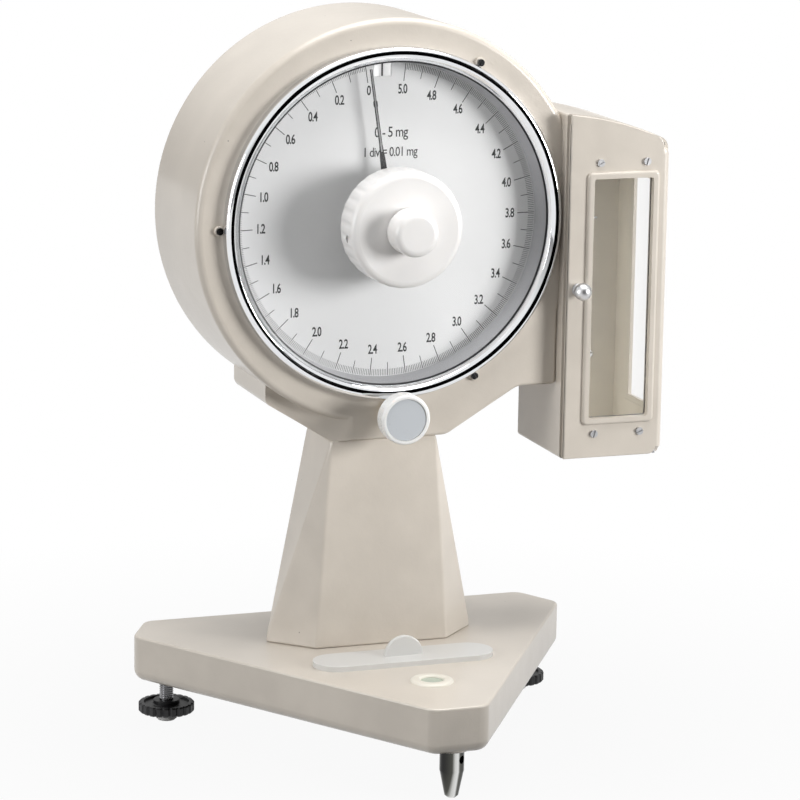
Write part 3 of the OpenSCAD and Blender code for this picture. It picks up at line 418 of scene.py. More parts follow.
# %% Finishing a piece
def piece(shape, name, body, finish, nodes=(), angle=32):
    """Shrink to metres, smooth the round parts, and hang the piece on its body."""
    bmesh.ops.scale(shape, vec=(0.001, 0.001, 0.001), verts=shape.verts)
    mesh = bpy.data.meshes.new(name)
    shape.to_mesh(mesh)
    shape.free()
    for one in finish if isinstance(finish, (list, tuple)) else [finish]:
        mesh.materials.append(one.material)
    mesh.shade_smooth()
    mesh.set_sharp_from_angle(angle=math.radians(angle))
    made = bpy.data.objects.new(name, mesh)
    bpy.context.scene.collection.objects.link(made)
    even = made.modifiers.new("even shading", "WEIGHTED_NORMAL")
    even.keep_sharp = True
    even.weight = 80
    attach(made, body)
    if nodes:
        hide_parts(*nodes)
    print(name, "faces", len(mesh.polygons))
    return made


# %% [markdown]
# ## The base
# The base is a casting with three long sides and three short ones. Its outline has six corners, so a
# face with six points is pushed up, its upright edges are rounded like a pattern maker's fillets, and
# its lower edge is turned under. The underside is hollow, as every casting of this size is, with a
# closed tray under the lid and bosses where the feet, the bolts and the level sit.


# %% Base casting
def base_shape():
    right_side = [(15.3, -150.8), (130.3, 32.9), (115.5, 61.4)]
    outline = [(-15.3, -150.8)] + right_side + [(-115.5, 61.4), (-130.3, 32.9)]
    shape = cut_out([(x, y, 0) for x, y in outline], (0, 0, base_low), (0, 0, base_top - base_low))
    soften(shape, sharp(shape, lambda m: abs(m.z - (base_low + base_top) / 2) < 1), 8, 8)
    soften(shape, sharp(shape, lambda m: m.z < base_low + 0.1), 6.5, 6)
    soften(shape, sharp(shape, lambda m: m.z > base_top - 0.1), 1.3, 4)
    under = [face for face in shape.faces if face.normal.z < -0.99]
    bmesh.ops.inset_region(shape, faces=under, thickness=2, use_even_offset=True)
    downward = [face for face in shape.faces if face.normal.z < -0.99]
    under = [max(downward, key=lambda face: face.calc_area())]
    pushed = bmesh.ops.extrude_face_region(shape, geom=under)
    bmesh.ops.translate(shape, verts=raised(pushed["geom"]), vec=(0, 0, base_top - base_low - 6))
    bmesh.ops.delete(shape, geom=under, context="FACES_ONLY")
    bmesh.ops.recalc_face_normals(shape, faces=shape.faces)
    return shape


def rounded_rectangle(width, height, radius, segments):
    flat = bmesh.new()
    x, y = width / 2, height / 2
    flat.faces.new([flat.verts.new((a, b, 0)) for a, b in ((-x, -y), (x, -y), (x, y), (-x, y))])
    bmesh.ops.bevel(
        flat, geom=list(flat.verts), offset=radius, offset_type="OFFSET", affect="VERTICES",
        segments=segments, profile=0.5, material=-1,
    )
    points = [vert.co.copy() for vert in next(iter(flat.faces)).verts]
    flat.free()
    return points


def slot_outline(length, width):
    """An oval slot lying along X: a rectangle whose corners are rounded until they meet."""
    return rounded_rectangle(length, width, width / 2 * 0.9995, 14)


lid_centre = Vector((1, -56.5, 0))
level_centre = Vector((2, -100, 0))
foot_x, foot_y, front_foot_y = 108, 41, -138.5
boss_top = base_top - 5


def above_base(height):
    """The lid's middle at a height over the base's top face, or under it where it is negative."""
    return lid_centre + Vector((0, 0, base_top + height))


base = base_shape()
base = combine(base, cut_out(slot_outline(97, 25), above_base(-18), (0, 0, 15)), "UNION")
base = combine(base, cut_out(slot_outline(91, 19), above_base(-15), (0, 0, 20)), "DIFFERENCE")
level_pocket = [(0, boss_top), (11.05, boss_top), (11.05, base_top + 1), (0, base_top + 1)]
base = combine(base, turned(level_pocket, level_centre, "Z", 64), "DIFFERENCE")
foot_boss = [(4.05, base_low), (9, base_low), (10, base_low + 1), (10, boss_top), (4.05, boss_top)]
bolt_boss = [(2.5, base_low + 6), (8, base_low + 6), (8, boss_top), (2.5, boss_top)]
level_boss = [(0, base_top - 10), (15, base_top - 10), (15, base_top - 5.5), (0, base_top - 5.5)]
bosses = []
for x, y in ((-foot_x, foot_y), (foot_x, foot_y), (0, front_foot_y)):
    bosses.append(turned(foot_boss, (x, y, 0), "Z", 40, True))
for x, y in ((-26, -12), (26, -12), (-26, 12), (26, 12)):
    bosses.append(turned(bolt_boss, (x, y, 0), "Z", 40, True))
bosses.append(turned(level_boss, level_centre, "Z", 48))
piece(joined(base, *bosses), "cast_base", "stand", casting_paint, ["base_casting"])

# %% [markdown]
# ## The column
# The column starts as a hexagon on the base and ends as a rectangle under the head, with triangles
# between. Ten corner points inside a convex hull give exactly these facets, which is surer than
# building each by hand. Its edges are softened as sand casting leaves them.


# %% Column
def column_shape():
    shape = bmesh.new()
    upper = [(31, 21.8, column_top), (31, -21.8, column_top)]
    for x, y, z in upper + [(39, 23, base_top), (39, -23, base_top), (62, 0, base_top)]:
        shape.verts.new((x, y, z))
        shape.verts.new((-x, y, z))
    bmesh.ops.convex_hull(shape, input=shape.verts)
    bmesh.ops.dissolve_limit(shape, angle_limit=math.radians(0.5), verts=shape.verts, edges=shape.edges)
    bmesh.ops.recalc_face_normals(shape, faces=shape.faces)
    soften(shape, sharp(shape, least=8), 1.2, 4)
    return shape


piece(column_shape(), "cast_column", "stand", casting_paint, ["column"])

# %% [markdown]
# ## The head
# The head casting is a drum with a flat right side, where the weighing box is bolted, and a lower
# block that runs down to the column. Both are made whole, rounded, joined, and then emptied by a
# smaller copy, which leaves a wall of even thickness with a round window at the front.


# %% Head casting
def drum(radius, front, back, flat, rounding):
    shape = turned([(0, front), (radius, front), (radius, back), (0, back)], axle, "Y", 192)
    if rounding:
        soften(shape, sharp(shape, lambda m: m.y < front + 0.1), rounding, 6)
    side = bmesh.ops.bisect_plane(
        shape, geom=shape.verts[:] + shape.edges[:] + shape.faces[:], dist=0.0001,
        plane_co=seen(flat, 0, 0), plane_no=(1, 0, 0), clear_outer=True,
    )
    bmesh.ops.holes_fill(shape, edges=cut_edges(side["geom_cut"]), sides=0)
    bmesh.ops.recalc_face_normals(shape, faces=shape.faces)
    return shape


def block(shrink, front, back, rounding):
    outline = [(-70.3, -50), (-70.3, -99.5), (-34.5, -121.5), (33.4, -121.5), (75.8, -96)]
    outline += [(flat_u, -96), (flat_u, -20)]
    middle_u, middle_v = 14, -60
    points = []
    for u, v in outline:
        closer_u = u - math.copysign(shrink, u - middle_u)
        points.append(seen(closer_u, v - math.copysign(shrink, v - middle_v), 0))
    shape = cut_out(points, (0, front, 0), (0, back - front, 0))
    if rounding:
        soften(shape, sharp(shape, lambda m: front + 1 < m.y < back - 1), rounding, 4)
        soften(shape, sharp(shape, lambda m: m.y < front + 0.1), rounding, 4)
        soften(shape, sharp(shape, lambda m: m.y > back - 0.1), rounding, 4)
    return shape


def shoulder_cut():
    """What is taken away in front of the block's left shoulder."""
    plan = [(-90, -40), (-22, -40), (-22, -24), (-56, -14), (-90, -14)]
    return cut_out([(axle.x + u, y, 160) for u, y in plan], (0, 0, 0), (0, 0, 120))


lower = combine(block(0, face_y, 47, 2.2), shoulder_cut(), "DIFFERENCE")
head = combine(drum(drum_r, face_y, rear_y, flat_u, 4), lower, "UNION")
hollow = combine(drum(109.5, -20, 60, 94.8, 0), block(4, -10, 43, 0), "UNION")
head = combine(head, hollow, "DIFFERENCE")
window = turned([(0, -30), (91.5, -30), (91.5, -15), (0, -15)], axle, "Y", 160)
head = combine(head, window, "DIFFERENCE")
piece(head, "cast_head", "stand", casting_paint, ["housing"])

# %% [markdown]
# The rear cover is a flat pressing that follows the drum. It is the same outline, a few millimetres
# thick, with its outer edge rolled over.


# %% Rear cover
def cover_shape():
    shape = drum(drum_r, rear_y, rear_y + 3, flat_u, 0)
    soften(shape, sharp(shape, lambda m: m.y > rear_y + 2.9), 1.4, 4)
    return shape


piece(cover_shape(), "pressed_cover", "stand", casting_paint, ["rear_cover"])

# %% [markdown]
# ## The bezel
# The chrome ring has a tall outer bead that rolls down to a thin lip at the glass. The whole section is
# drawn once, point by point, and spun, because the way the bead falls away makes the bands of light
# and dark that say chrome. A narrow black ring lies between the lip and the glass: it is partly a seal
# and partly painted shade, drawing the dark gap round the bezel's inner edge.


# %% Bezel
def arc(centre_r, centre_y, radius, start, end, count):
    """Points of a section along an arc; angles run from the dial's outside, counted to the front."""
    points = []
    for i in range(count + 1):
        a = math.radians(start + (end - start) * i / count)
        points.append((centre_r + radius * math.cos(a), centre_y - radius * math.sin(a)))
    return points


section = [(98.3, face_y), (98.3, -27.4)] + arc(94.95, -27.6, 3.2, 0, 138, 14)
section += [(91.9, -29.35), (91.6, -28.8), (90.9, -28.2), (90.4, -27.4), (90.3, -26.9)]
section += [(90.3, -26), (91, -26), (91, face_y)]
piece(turned(section, axle, "Y", 192, True), "chrome_bezel", "stand", chrome, ["bezel"], 60)
# Partly a seal, partly painted shade: the black ring draws the dark gap at the bezel's inner edge.
seal_and_shade_ring = turned([(89.5, -26.8), (90.25, -27), (90.25, -26.05), (89.5, -26.05)], axle, "Y", 192, True)
piece(seal_and_shade_ring, "glass_seal_painted_shade", "stand", needle_black, [])
tabs = bmesh.new()
for tab_at in (61, 180, 299):
    a = math.radians(tab_at)
    tab_profile = [(0, -25.5), (2.5, -25.5), (2.8, -25.2), (2.8, face_y), (0, face_y)]
    tabs = joined(tabs, turned(tab_profile, seen(100.6 * math.cos(a), 100.6 * math.sin(a), 0), "Y", 32))
piece(tabs, "bezel_tabs", "stand", casting_paint, [])

# %% [markdown]
# ## The dial
# The dial is a white lacquered disc. Its scale is printed: 500 fine divisions over nearly a whole
# turn, with longer marks at each tenth and the numerals inside. The marks are thin flat faces a
# hair in front of the disc, because print this fine would blur in a shader. One mark is one face, so
# the 501 of them stay light.

# %% Dial disc
dial_shape = turned([(0, -12), (90.5, -12), (90.5, -10.5), (0, -10.5)], axle, "Y", 160)
index_edge = [seen(u, v, -20) for u, v in ((-8.4, 80.2), (1.6, 80.2), (1.6, 87.8), (-8.4, 87.8))]
dial_shape = combine(dial_shape, cut_out(index_edge, (0, 0, 0), (0, 20, 0)), "DIFFERENCE")
axle_hole = turned([(0, -20), (7.5, -20), (7.5, 0), (0, 0)], axle, "Y", 48)
dial_shape = combine(dial_shape, axle_hole, "DIFFERENCE")
piece(dial_shape, "dial_disc", "stand", dial_paint, ["dial_plate"])

# %% Scale marks
print_y = -12.05
zero_at = 9.0
per_tenth = 344.5 / 50
scale_r = 87.8
figures_r = 73.2


def mark(shape, value, inner, outer, width):
    """One radial line of the scale, for a value in tenths."""
    angle = math.radians(90 + zero_at + per_tenth * value)
    along = Vector((math.cos(angle), math.sin(angle)))
    across = Vector((-along.y, along.x)) * width / 2
    ends = [along * inner - across, along * inner + across, along * outer + across, along * outer - across]
    face = shape.faces.new([shape.verts.new(seen(p.x, p.y, print_y)) for p in ends])
    face.normal_update()
    if face.normal.y > 0:
        face.normal_flip()


marks = bmesh.new()
for step in range(501):
    length, width = (10, 0.42) if step % 20 == 0 else (7.4, 0.36) if step % 10 == 0 else (3.6, 0.24)
    mark(marks, step / 10, scale_r - length, scale_r, width)
print("marks:", len(marks.faces))


# %% Numerals
def lettering(text, size, narrow, u, v, bold, target):
    """Set a line of type, turn it into faces and lay it on the dial round a centre."""
    curve = bpy.data.curves.new("type", "FONT")
    curve.body = text
    curve.size = size
    curve.resolution_u = 3
    curve.offset = bold * size
    curve.space_character = 0.9
    curve.align_x, curve.align_y = "CENTER", "CENTER"
    setting = bpy.data.objects.new("type", curve)
    bpy.context.scene.collection.objects.link(setting)
    graph = bpy.context.evaluated_depsgraph_get()
    flat = bmesh.new()
    flat.from_mesh(setting.evaluated_get(graph).to_mesh())
    bmesh.ops.transform(flat, matrix=Matrix.Diagonal((narrow, 1, 1, 1)), verts=flat.verts)
    bmesh.ops.rotate(flat, cent=(0, 0, 0), matrix=Matrix.Rotation(math.radians(90), 3, "X"), verts=flat.verts)
    bmesh.ops.translate(flat, vec=seen(u, v, print_y), verts=flat.verts)
    bpy.data.objects.remove(setting)
    bpy.data.curves.remove(curve)
    return joined(target, flat)


for step in range(0, 51, 2):
    angle = math.radians(90 + zero_at + per_tenth * step)
    text = "0" if step == 0 else f"{step / 10:.1f}"
    u, v = figures_r * math.cos(angle), figures_r * math.sin(angle)
    marks = lettering(text, 7.4, 0.67, u, v, 0.02, marks)
marks = lettering("0 - 5 mg", 8.2, 0.8, 2, 49, 0.006, marks)
marks = lettering("1 div = 0.01 mg", 7.4, 0.78, 1.5, 38, 0.006, marks)
piece(marks, "dial_print", "stand", dial_ink, [])

# %% [markdown]
# ## The reading knob
# The large knob is a thick white moulding with a soft edge. Its rim carries shallow flutes that fade
# out before the face. The body is spun, and then the rim's points are drawn in along a cosine, so the
# flutes run smoothly into the plain part.


# %% Fluted knobs
def knob(profile, centre, steps, rounds):
    shape = turned(profile, centre, "Y", steps)
    for radius, depth, rounding in rounds:
        on_ring = set()
        for vert in shape.verts:
            from_axis = math.hypot(vert.co.x - centre[0], vert.co.z - centre[2])
            if abs(vert.co.y - depth) < 0.02 and abs(from_axis - radius) < 0.05:
                on_ring.add(vert)
        soften(shape, [edge for edge in sharp(shape) if on_ring.issuperset(edge.verts)], rounding, 8)
    return shape


def flute(shape, centre, radius, count, deep, front, back):
    """Draw the rim in, most in the middle of each flute and nothing at the two ends."""
    for vert in shape.verts:
        x, z = vert.co.x - centre[0], vert.co.z - centre[2]
        r = math.hypot(x, z)
        if r > radius - 1.5:
            fade = min(1, max(0, (vert.co.y - front) / 4)) * min(1, max(0, (back - vert.co.y) / 3))
            drawn = deep * fade * (0.5 - 0.5 * math.cos(count * math.atan2(z, x))) ** 2
            vert.co.x -= x / r * drawn
            vert.co.z -= z / r * drawn


rim_r = 32.5
profile = [(0, -48.5), (28.6, -48.5), (28.9, -48.3), (rim_r, -47.9)]
profile += [(rim_r, y) for y in (-43.5, -40, -36, -32, -29.5, -27.5)]
profile += [(4.5, -27.5), (4.5, -24), (0, -24)]
reading = knob(profile, axle, 300, [(rim_r, -47.9, 4.2), (rim_r, -27.5, 1.0)])
flute(reading, axle, rim_r, 30, 0.55, -46.5, -27.0)
screw_hole = turned([(0, 20), (2.1, 20), (2.1, 40), (0, 40)], (0, 0, 0), "Y", 32)
round_axle = Matrix.Rotation(math.radians(-189), 4, "Y")
turn = Matrix.Translation(seen(0, 0, -38)) @ round_axle @ Matrix.Rotation(math.radians(-90), 4, "Z")
bmesh.ops.transform(screw_hole, matrix=turn, verts=screw_hole.verts)
reading = combine(reading, screw_hole, "DIFFERENCE")
piece(reading, "fluted_knob", "reading_control", white_plastic, ["reading_knob"], 50)

profile = [(0, -64), (12.75, -64), (12.75, -49), (2, -49), (2, -47), (0, -47)]
zero = knob(profile, axle, 96, [(12.75, -64, 4), (12.75, -49, 0.6)])
piece(zero, "centre_knob", "zero_control", white_plastic, ["zero_knob"], 50)

# %% [markdown]
# ## The pointer
# The pointer stands on the reading knob's hub, behind the glass. It is a black strip that narrows in
# steps, with a small collar near its tip. A lighter steel rib along its outer half is painted highlight:
# it stands for the bright reflection down the middle of the polished pointer.


# %% Pointer
def needle_part(half_widths, front, back):
    """A flat strip standing on the knob's hub, given by (distance from the axle, half width) pairs."""
    turn = math.radians(8.6)
    along, across = Vector((-math.sin(turn), math.cos(turn))), Vector((math.cos(turn), math.sin(turn)))
    right = [along * r + across * w for r, w in half_widths]
    left = [along * r - across * w for r, w in reversed(half_widths)]
    return cut_out([seen(p.x, p.y, 0) for p in right + left], (0, front, 0), (0, back - front, 0))


widths = [(5, 2.6), (36, 1.5), (44, 0.85), (65, 0.85), (65.4, 1.15), (68, 1.15), (68.4, 0.75), (86, 0.7)]
strip = needle_part(widths, -19.5, -18.9)
hub_profile = [(4.55, -20.5), (7.6, -20.5), (8, -20.1), (8, -17.4), (7.6, -17), (4.55, -17)]
hub = turned(hub_profile, axle, "Y", 64, True)
piece(joined(strip, hub), "pointer_strip", "reading_control", needle_black, ["pointer"])
# Painted highlight: the lighter rib stands for the bright reflection along the pointer's middle.
painted_highlight_rib = needle_part([(40, 0.42), (86, 0.3)], -19.62, -19.5)
piece(painted_highlight_rib, "pointer_painted_highlight", "reading_control", satin_steel, [])

# %% [markdown]
# ## The lock knob
# The knob that lifts and locks the beam is smaller and milky, with a flat grey disc let into its
# face. It is spun in two parts, so that the disc has its own finish and a fine shadow line round it.

# %% Lock knob
lock = seen(0, -105.5, 0)
profile = [(0, -48.5), (11.8, -48.5), (11.8, -50), (14.2, -50)]
profile += [(14.2, -41), (6.5, -41), (6.5, -26.5), (0, -26.5)]
lock_body = knob(profile, lock, 96, [(14.2, -50, 1.5), (14.2, -41, 0.8)])
piece(lock_body, "milky_knob", "lock_control", milky_plastic, ["lock_knob"], 50)
cap = turned([(0, -49.5), (11.6, -49.5), (11.6, -48.5), (0, -48.5)], lock, "Y", 72)
piece(cap, "knob_disc", "lock_control", cap_grey, ["lock_knob_cap"], 50)

# %% [markdown]
# ## The weighing box
# The box is folded from sheet metal: four walls, a floor and a roof that curves down to the right in a
# slice of a large circle. Its face is one outline pushed back to a depth. A smaller copy is cut out
# through the front, which leaves the sheet's thickness, and the faces inside get the lighter enamel,
# which is painted light.

# %% Outline of the box
arch_u, arch_v = 82, -122.7


def arch(u1, u2, v1, radius, count=14):
    """The box's face: square below, and a slice of a circle above."""
    top = []
    for i in range(count + 1):
        u = u2 + (u1 - u2) * i / count
        top.append((u, arch_v + math.sqrt(radius ** 2 - (u - arch_u) ** 2)))
    return [(u1, v1), (u2, v1)] + top


def plate_of(outline, front, depth):
    """An outline of the front view, given a depth towards the rear."""
    return cut_out([seen(u, v, 0) for u, v in outline], (0, front, 0), (0, depth, 0))


def bar(x1, x2, y1, y2, z1, z2):
    """A square bar between two corners."""
    return cut_out([(x1, y1, z1), (x2, y1, z1), (x2, y2, z1), (x1, y2, z1)], (0, 0, 0), (0, 0, z2 - z1))


box_left, box_right = 98.8, 160.3
box_floor, box_front, box_back = -137.5, -31.5, 33.8
print("box outline:", len(arch(box_left, box_right, box_floor, 182.5)), "points")


# %% Box shell
def box_shell():
    depth = box_back - box_front
    outer = plate_of(arch(box_left, box_right, box_floor, 182.5), box_front, depth)
    long_edges = sharp(outer, lambda m: box_front + 1 < m.y < box_back - 1)
    soften(outer, [edge for edge in long_edges if edge.verts[0].co.x < 150], 1.6, 4)
    soften(outer, sharp(outer, lambda m: box_front + 1 < m.y < box_back - 1 and m.x > 150, 40), 4, 6)
    soften(outer, sharp(outer, lambda m: m.y > box_back - 0.1), 1.6, 4)
    inner = plate_of(arch(box_left + 2, box_right - 2, box_floor + 2, 180.5), box_front - 3, depth + 1)
    shell = combine(outer, inner, "DIFFERENCE")
    shell = combine(shell, bar(156.5, 168.5, -20, 10, 182, 311.5), "DIFFERENCE")
    # The faces inside take the second, lighter enamel, which is painted light.
    for face in shell.faces:
        middle = face.calc_center_median() - seen(arch_u, arch_v, 0)
        inside = middle.y < 33 and 18.5 < middle.x < 76.8 and middle.z > -14
        inside = inside and math.hypot(middle.x, middle.z) < 181.5
        to_front = abs(face.normal.y + 1) <= 0.01 and middle.y <= 30
        face.material_index = 1 if inside and not to_front else 0
    return combine(shell, bar(160.4, 172, -40, -27.4, 158.5, 313.5), "DIFFERENCE")


piece(box_shell(), "folded_box", "stand", [sheet_paint, inside_painted_light], ["weigh_box"])

# %% [markdown]
# ## The door
# The door is a plate with the same curved top. Round its tall opening runs a raised pressed frame with
# sloping sides, and its left edge is folded back. The opening is cut last, through plate and frame
# together.


# %% Door
opening_u, opening_v = 131.7, -45.9


def round_opening(width, height, radius):
    """A rectangle with round corners about the middle of the door's opening."""
    points = rounded_rectangle(width, height, radius, 5)
    return [(opening_u + point.x, opening_v + point.y) for point in points]


def door_shape():
    left, right, low = 99.9, 156.3, -137.2
    plate = plate_of(arch(left, right, low, 182.3), -36, 2)
    corners = sharp(plate, lambda m: -35.5 < m.y < -34.5 and m.x > 158 and abs(m.z - 248) > 60)
    soften(plate, corners, 4.5, 6)
    soften(plate, sharp(plate, lambda m: m.y < -35.9), 0.9, 3)
    frame_edge = plate_of(round_opening(43.6, 144.3, 3), -37.8, 2.6)
    soften(frame_edge, sharp(frame_edge, lambda m: m.y < -37.7), 1.6, 5)
    plate = combine(plate, frame_edge, "UNION")
    fold = [(left, low + 1), (left + 1.5, low + 1), (left + 1.5, 53), (left, 53)]
    plate = combine(plate, plate_of(fold, -35, 2.8), "UNION")
    plate = combine(plate, plate_of(round_opening(36, 136.7, 1.5), -40, 10), "DIFFERENCE")
    barrel = [(0, 159), (2.6, 159), (4, 161), (4, 329), (3.2, 331.8), (0, 333)]
    return combine(plate, turned(barrel, (159.3, -32, 0), "Z", 48), "UNION")


piece(door_shape(), "folded_door", "door_leaf", sheet_paint, ["door"])
stem = [(0, -36), (3.5, -36), (3.5, -37.3), (2, -37.6), (2, -40)]
pull = turned(stem + arc(0, -44, 5, -66, 90, 14), seen(105.6, -39.7, 0), "Y", 48)
piece(pull, "ball_pull", "door_leaf", satin_steel, ["door_knob"], 60)

# %% [markdown]
# ## Feet
# Two levelling feet stand at the back, each a black scalloped wheel on a threaded stud. The front foot
# is one turned steel peg with a cross hole for a tommy bar.


# %% Scalloped wheels
def wheel(x):
    centre = Vector((x, foot_y, 0))
    profile = [(4, 5), (15.2, 5), (16, 5.8), (16, 9.8), (15.2, 10.5), (13, 10.5), (12.6, 9.2)]
    profile += [(8, 9.2), (7.5, 9.6), (7.5, 11.6), (7.1, 12), (4, 12)]
    shape = turned(profile, centre, "Z", 176, True)
    for vert in shape.verts:
        out = Vector((vert.co.x - centre.x, vert.co.y - centre.y))
        if out.length > 14.5:
            scallop = max(0.0, math.cos(22 * math.atan2(out.y, out.x)))
            vert.co.x -= out.x / out.length * 0.9 * scallop
            vert.co.y -= out.y / out.length * 0.9 * scallop
    return shape


piece(wheel(-foot_x), "left_wheel", "left_foot", black_plastic, ["left_foot_wheel"])
piece(wheel(foot_x), "right_wheel", "right_foot", black_plastic, ["right_foot_wheel"])


# %% Threaded studs
def stud(x):
    """A stud whose thread is drawn as rings, one for each turn of the real pitch of 1.25 mm."""
    profile = [(0, 5), (3.6, 5), (3.6, 12.4)]
    z = 12.4
    while z < 25.5:
        profile += [(4, z + 0.3), (4, z + 0.5), (3.45, z + 1.0), (3.45, z + 1.1)]
        z += 1.25
    profile += [(3.9, 27), (3.9, 42.9), (0, 42.9)]
    return turned(profile, (x, foot_y, 0), "Z", 40)


piece(stud(-foot_x), "left_stud", "left_foot", dark_steel, ["left_foot_screw"])
piece(stud(foot_x), "right_stud", "right_foot", dark_steel, ["right_foot_screw"])

# %% Front foot
# The peg wears the turned steel whose colour carries painted reflection.
profile = [(0, 0), (2.6, 0), (3.8, 1.2), (6.5, 14.6), (6.7, 15.2), (6.7, 26.4), (6.2, 26.9), (0, 26.9)]
peg = turned(profile, (0, front_foot_y, 0), "Z", 72)
bar_hole = turned([(0, -20), (2.25, -20), (2.25, 20), (0, 20)], (0, 0, 0), "Y", 32)
turn = Matrix.Translation((0, front_foot_y, 21.9)) @ Matrix.Rotation(math.radians(35), 4, "Z")
bmesh.ops.transform(bar_hole, matrix=turn, verts=bar_hole.verts)
piece(combine(peg, bar_hole, "DIFFERENCE"), "turned_foot", "stand", turned_steel, ["front_foot"])

# %% [markdown]
# ## On the base
# A cream ring holds the bull's-eye level, and a long oval lid of milky plastic with a half-round tab
# covers the pocket behind it. The lid's outline is a rectangle whose corners are rounded until its
# ends are half circles.

# %% Level
section = [(6.5, 0), (6.5, 0.7), (7.2, 1.5), (10, 1.5), (11.4, 1.1), (12, 0.3), (12, 0)]
ring = turned([(r, base_top + h) for r, h in section], level_centre, "Z", 72, True)
piece(ring, "level_collar", "stand", cream_plastic, ["level_ring"], 60)

# %% Lid
lid = cut_out(slot_outline(105, 27), above_base(0), (0, 0, 3))
soften(lid, sharp(lid, lambda m: m.z > base_top + 2.9), 1.1, 4)
plug = cut_out(slot_outline(90, 18), above_base(-4), (0, 0, 4))
tab = turned([(0, -58), (11.2, -58), (11.2, -55), (0, -55)], (1, 0, base_top + 3), "Y", 64)
soften(tab, sharp(tab), 0.8, 3)
half = bmesh.ops.bisect_plane(
    tab, geom=tab.verts[:] + tab.edges[:] + tab.faces[:], dist=0.0001,
    plane_co=(0, 0, base_top + 2.9), plane_no=(0, 0, -1), clear_outer=True,
)
bmesh.ops.holes_fill(tab, edges=cut_edges(half["geom_cut"]), sides=0)
piece(joined(lid, plug, tab), "milky_lid", "lid", lid_plastic, ["tray_lid"])

# %% [markdown]
# ## Finishes for everything else
# Screws, glass and the whole movement keep their exact shapes from the frame. Each is given the finish
# that its record names, so a brass plate is brass wherever it shows through a gap. A few pieces get
# another finish than their record says, because it is nearer to the real one; two carry painted light
# instead: the reveal ring's darker grey is painted shade, and the index screen glows faintly.

# %% Finishes by node
by_slot = {
    "casting_paint": casting_paint, "sheet_paint": sheet_paint, "chrome": chrome, "steel": steel,
    "aluminium": aluminium, "brass": brass, "glass": clear_glass, "white_plastic": white_plastic,
    "black_plastic": black_plastic, "dial_paint": dial_paint, "ruby": ruby, "vial": vial_glass,
    "magnet_steel": magnet_steel, "needle_black": needle_black, "spring_steel": spring_steel,
}
for name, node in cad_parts.items():
    for holder in node.material_slots:
        plain = holder.material.name.split(".")[0] if holder.material else ""
        if plain in by_slot:
            holder.material = by_slot[plain].material
        else:
            print("no finish for", name, plain)
# The reveal ring's darker grey is painted shade, and the index screen's glow is painted light.
special = {
    "reveal_ring": painted_shade_grey, "index_screen": painted_glow_white, "side_glass": side_clear,
    "left_foot_pad": pale_rubber, "right_foot_pad": pale_rubber, "bezel_screws": dark_steel,
    "index_needle": needle_black, "door_screws": satin_steel,
}
for name, finish in special.items():
    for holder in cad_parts[name].material_slots:
        holder.material = finish.material

# %% [markdown]
# ## Floor, light and camera
# A white floor runs to a white horizon. Three large soft lamps light the balance: one low on the right,
# which throws the knob's shadow to the left across the dial, a weaker one on the left and a wide one
# overhead. A black card in front shows only in reflections and gives the chrome its dark band. A low
# flag, which only casts a shadow, keeps the right lamp off the base.


# %% Floor
def stage_sheet(name, points, material):
    shape = bmesh.new()
    shape.faces.new([shape.verts.new(point) for point in points])
    mesh = bpy.data.meshes.new(name)
    shape.to_mesh(mesh)
    shape.free()
    mesh.materials.append(material)
    made = bpy.data.objects.new(name, mesh)
    bpy.context.scene.collection.objects.link(made)
    return made


def floor_material():
    made = bpy.data.materials.new("floor")
    made.use_nodes = True
    tree = made.node_tree
    tree.nodes.clear()
    paper = tree.nodes.new("ShaderNodeBsdfDiffuse")
    paper.inputs[0].default_value = (0.15, 0.15, 0.15, 1)
    bright = tree.nodes.new("ShaderNodeEmission")
    bright.inputs[0].default_value = (1, 1, 1, 1)
    path = tree.nodes.new("ShaderNodeLightPath")
    seen_by = tree.nodes.new("ShaderNodeMath")
    seen_by.operation = "ADD"
    tree.links.new(path.outputs["Is Camera Ray"], seen_by.inputs[0])
    tree.links.new(path.outputs["Is Glossy Ray"], seen_by.inputs[1])
    also = tree.nodes.new("ShaderNodeMath")
    also.operation = "ADD"
    tree.links.new(seen_by.outputs[0], also.inputs[0])
    tree.links.new(path.outputs["Is Transmission Ray"], also.inputs[1])
    place = tree.nodes.new("ShaderNodeTexCoord")
    away = tree.nodes.new("ShaderNodeVectorMath")
    away.operation = "LENGTH"
    tree.links.new(place.outputs["Object"], away.inputs[0])
    fade = tree.nodes.new("ShaderNodeMapRange")
    for socket, value in zip(list(fade.inputs)[1:5], (0.12, 0.45, 0.94, 1.0)):
        socket.default_value = value
    tree.links.new(away.outputs["Value"], fade.inputs[0])
    part = tree.nodes.new("ShaderNodeMath")
    part.operation = "MULTIPLY"
    part.use_clamp = True
    tree.links.new(fade.outputs[0], part.inputs[1])
    tree.links.new(also.outputs[0], part.inputs[0])
    blend = tree.nodes.new("ShaderNodeMixShader")
    tree.links.new(part.outputs[0], blend.inputs[0])
    tree.links.new(paper.outputs[0], blend.inputs[1])
    tree.links.new(bright.outputs[0], blend.inputs[2])
    end = tree.nodes.new("ShaderNodeOutputMaterial")
    tree.links.new(blend.outputs[0], end.inputs[0])
    return made


floor_half, floor_z = 6, -0.0005
corners = [(-1, -1), (1, -1), (1, 1), (-1, 1)]
stage_sheet("floor", [(x * floor_half, y * floor_half, floor_z) for x, y in corners], floor_material())

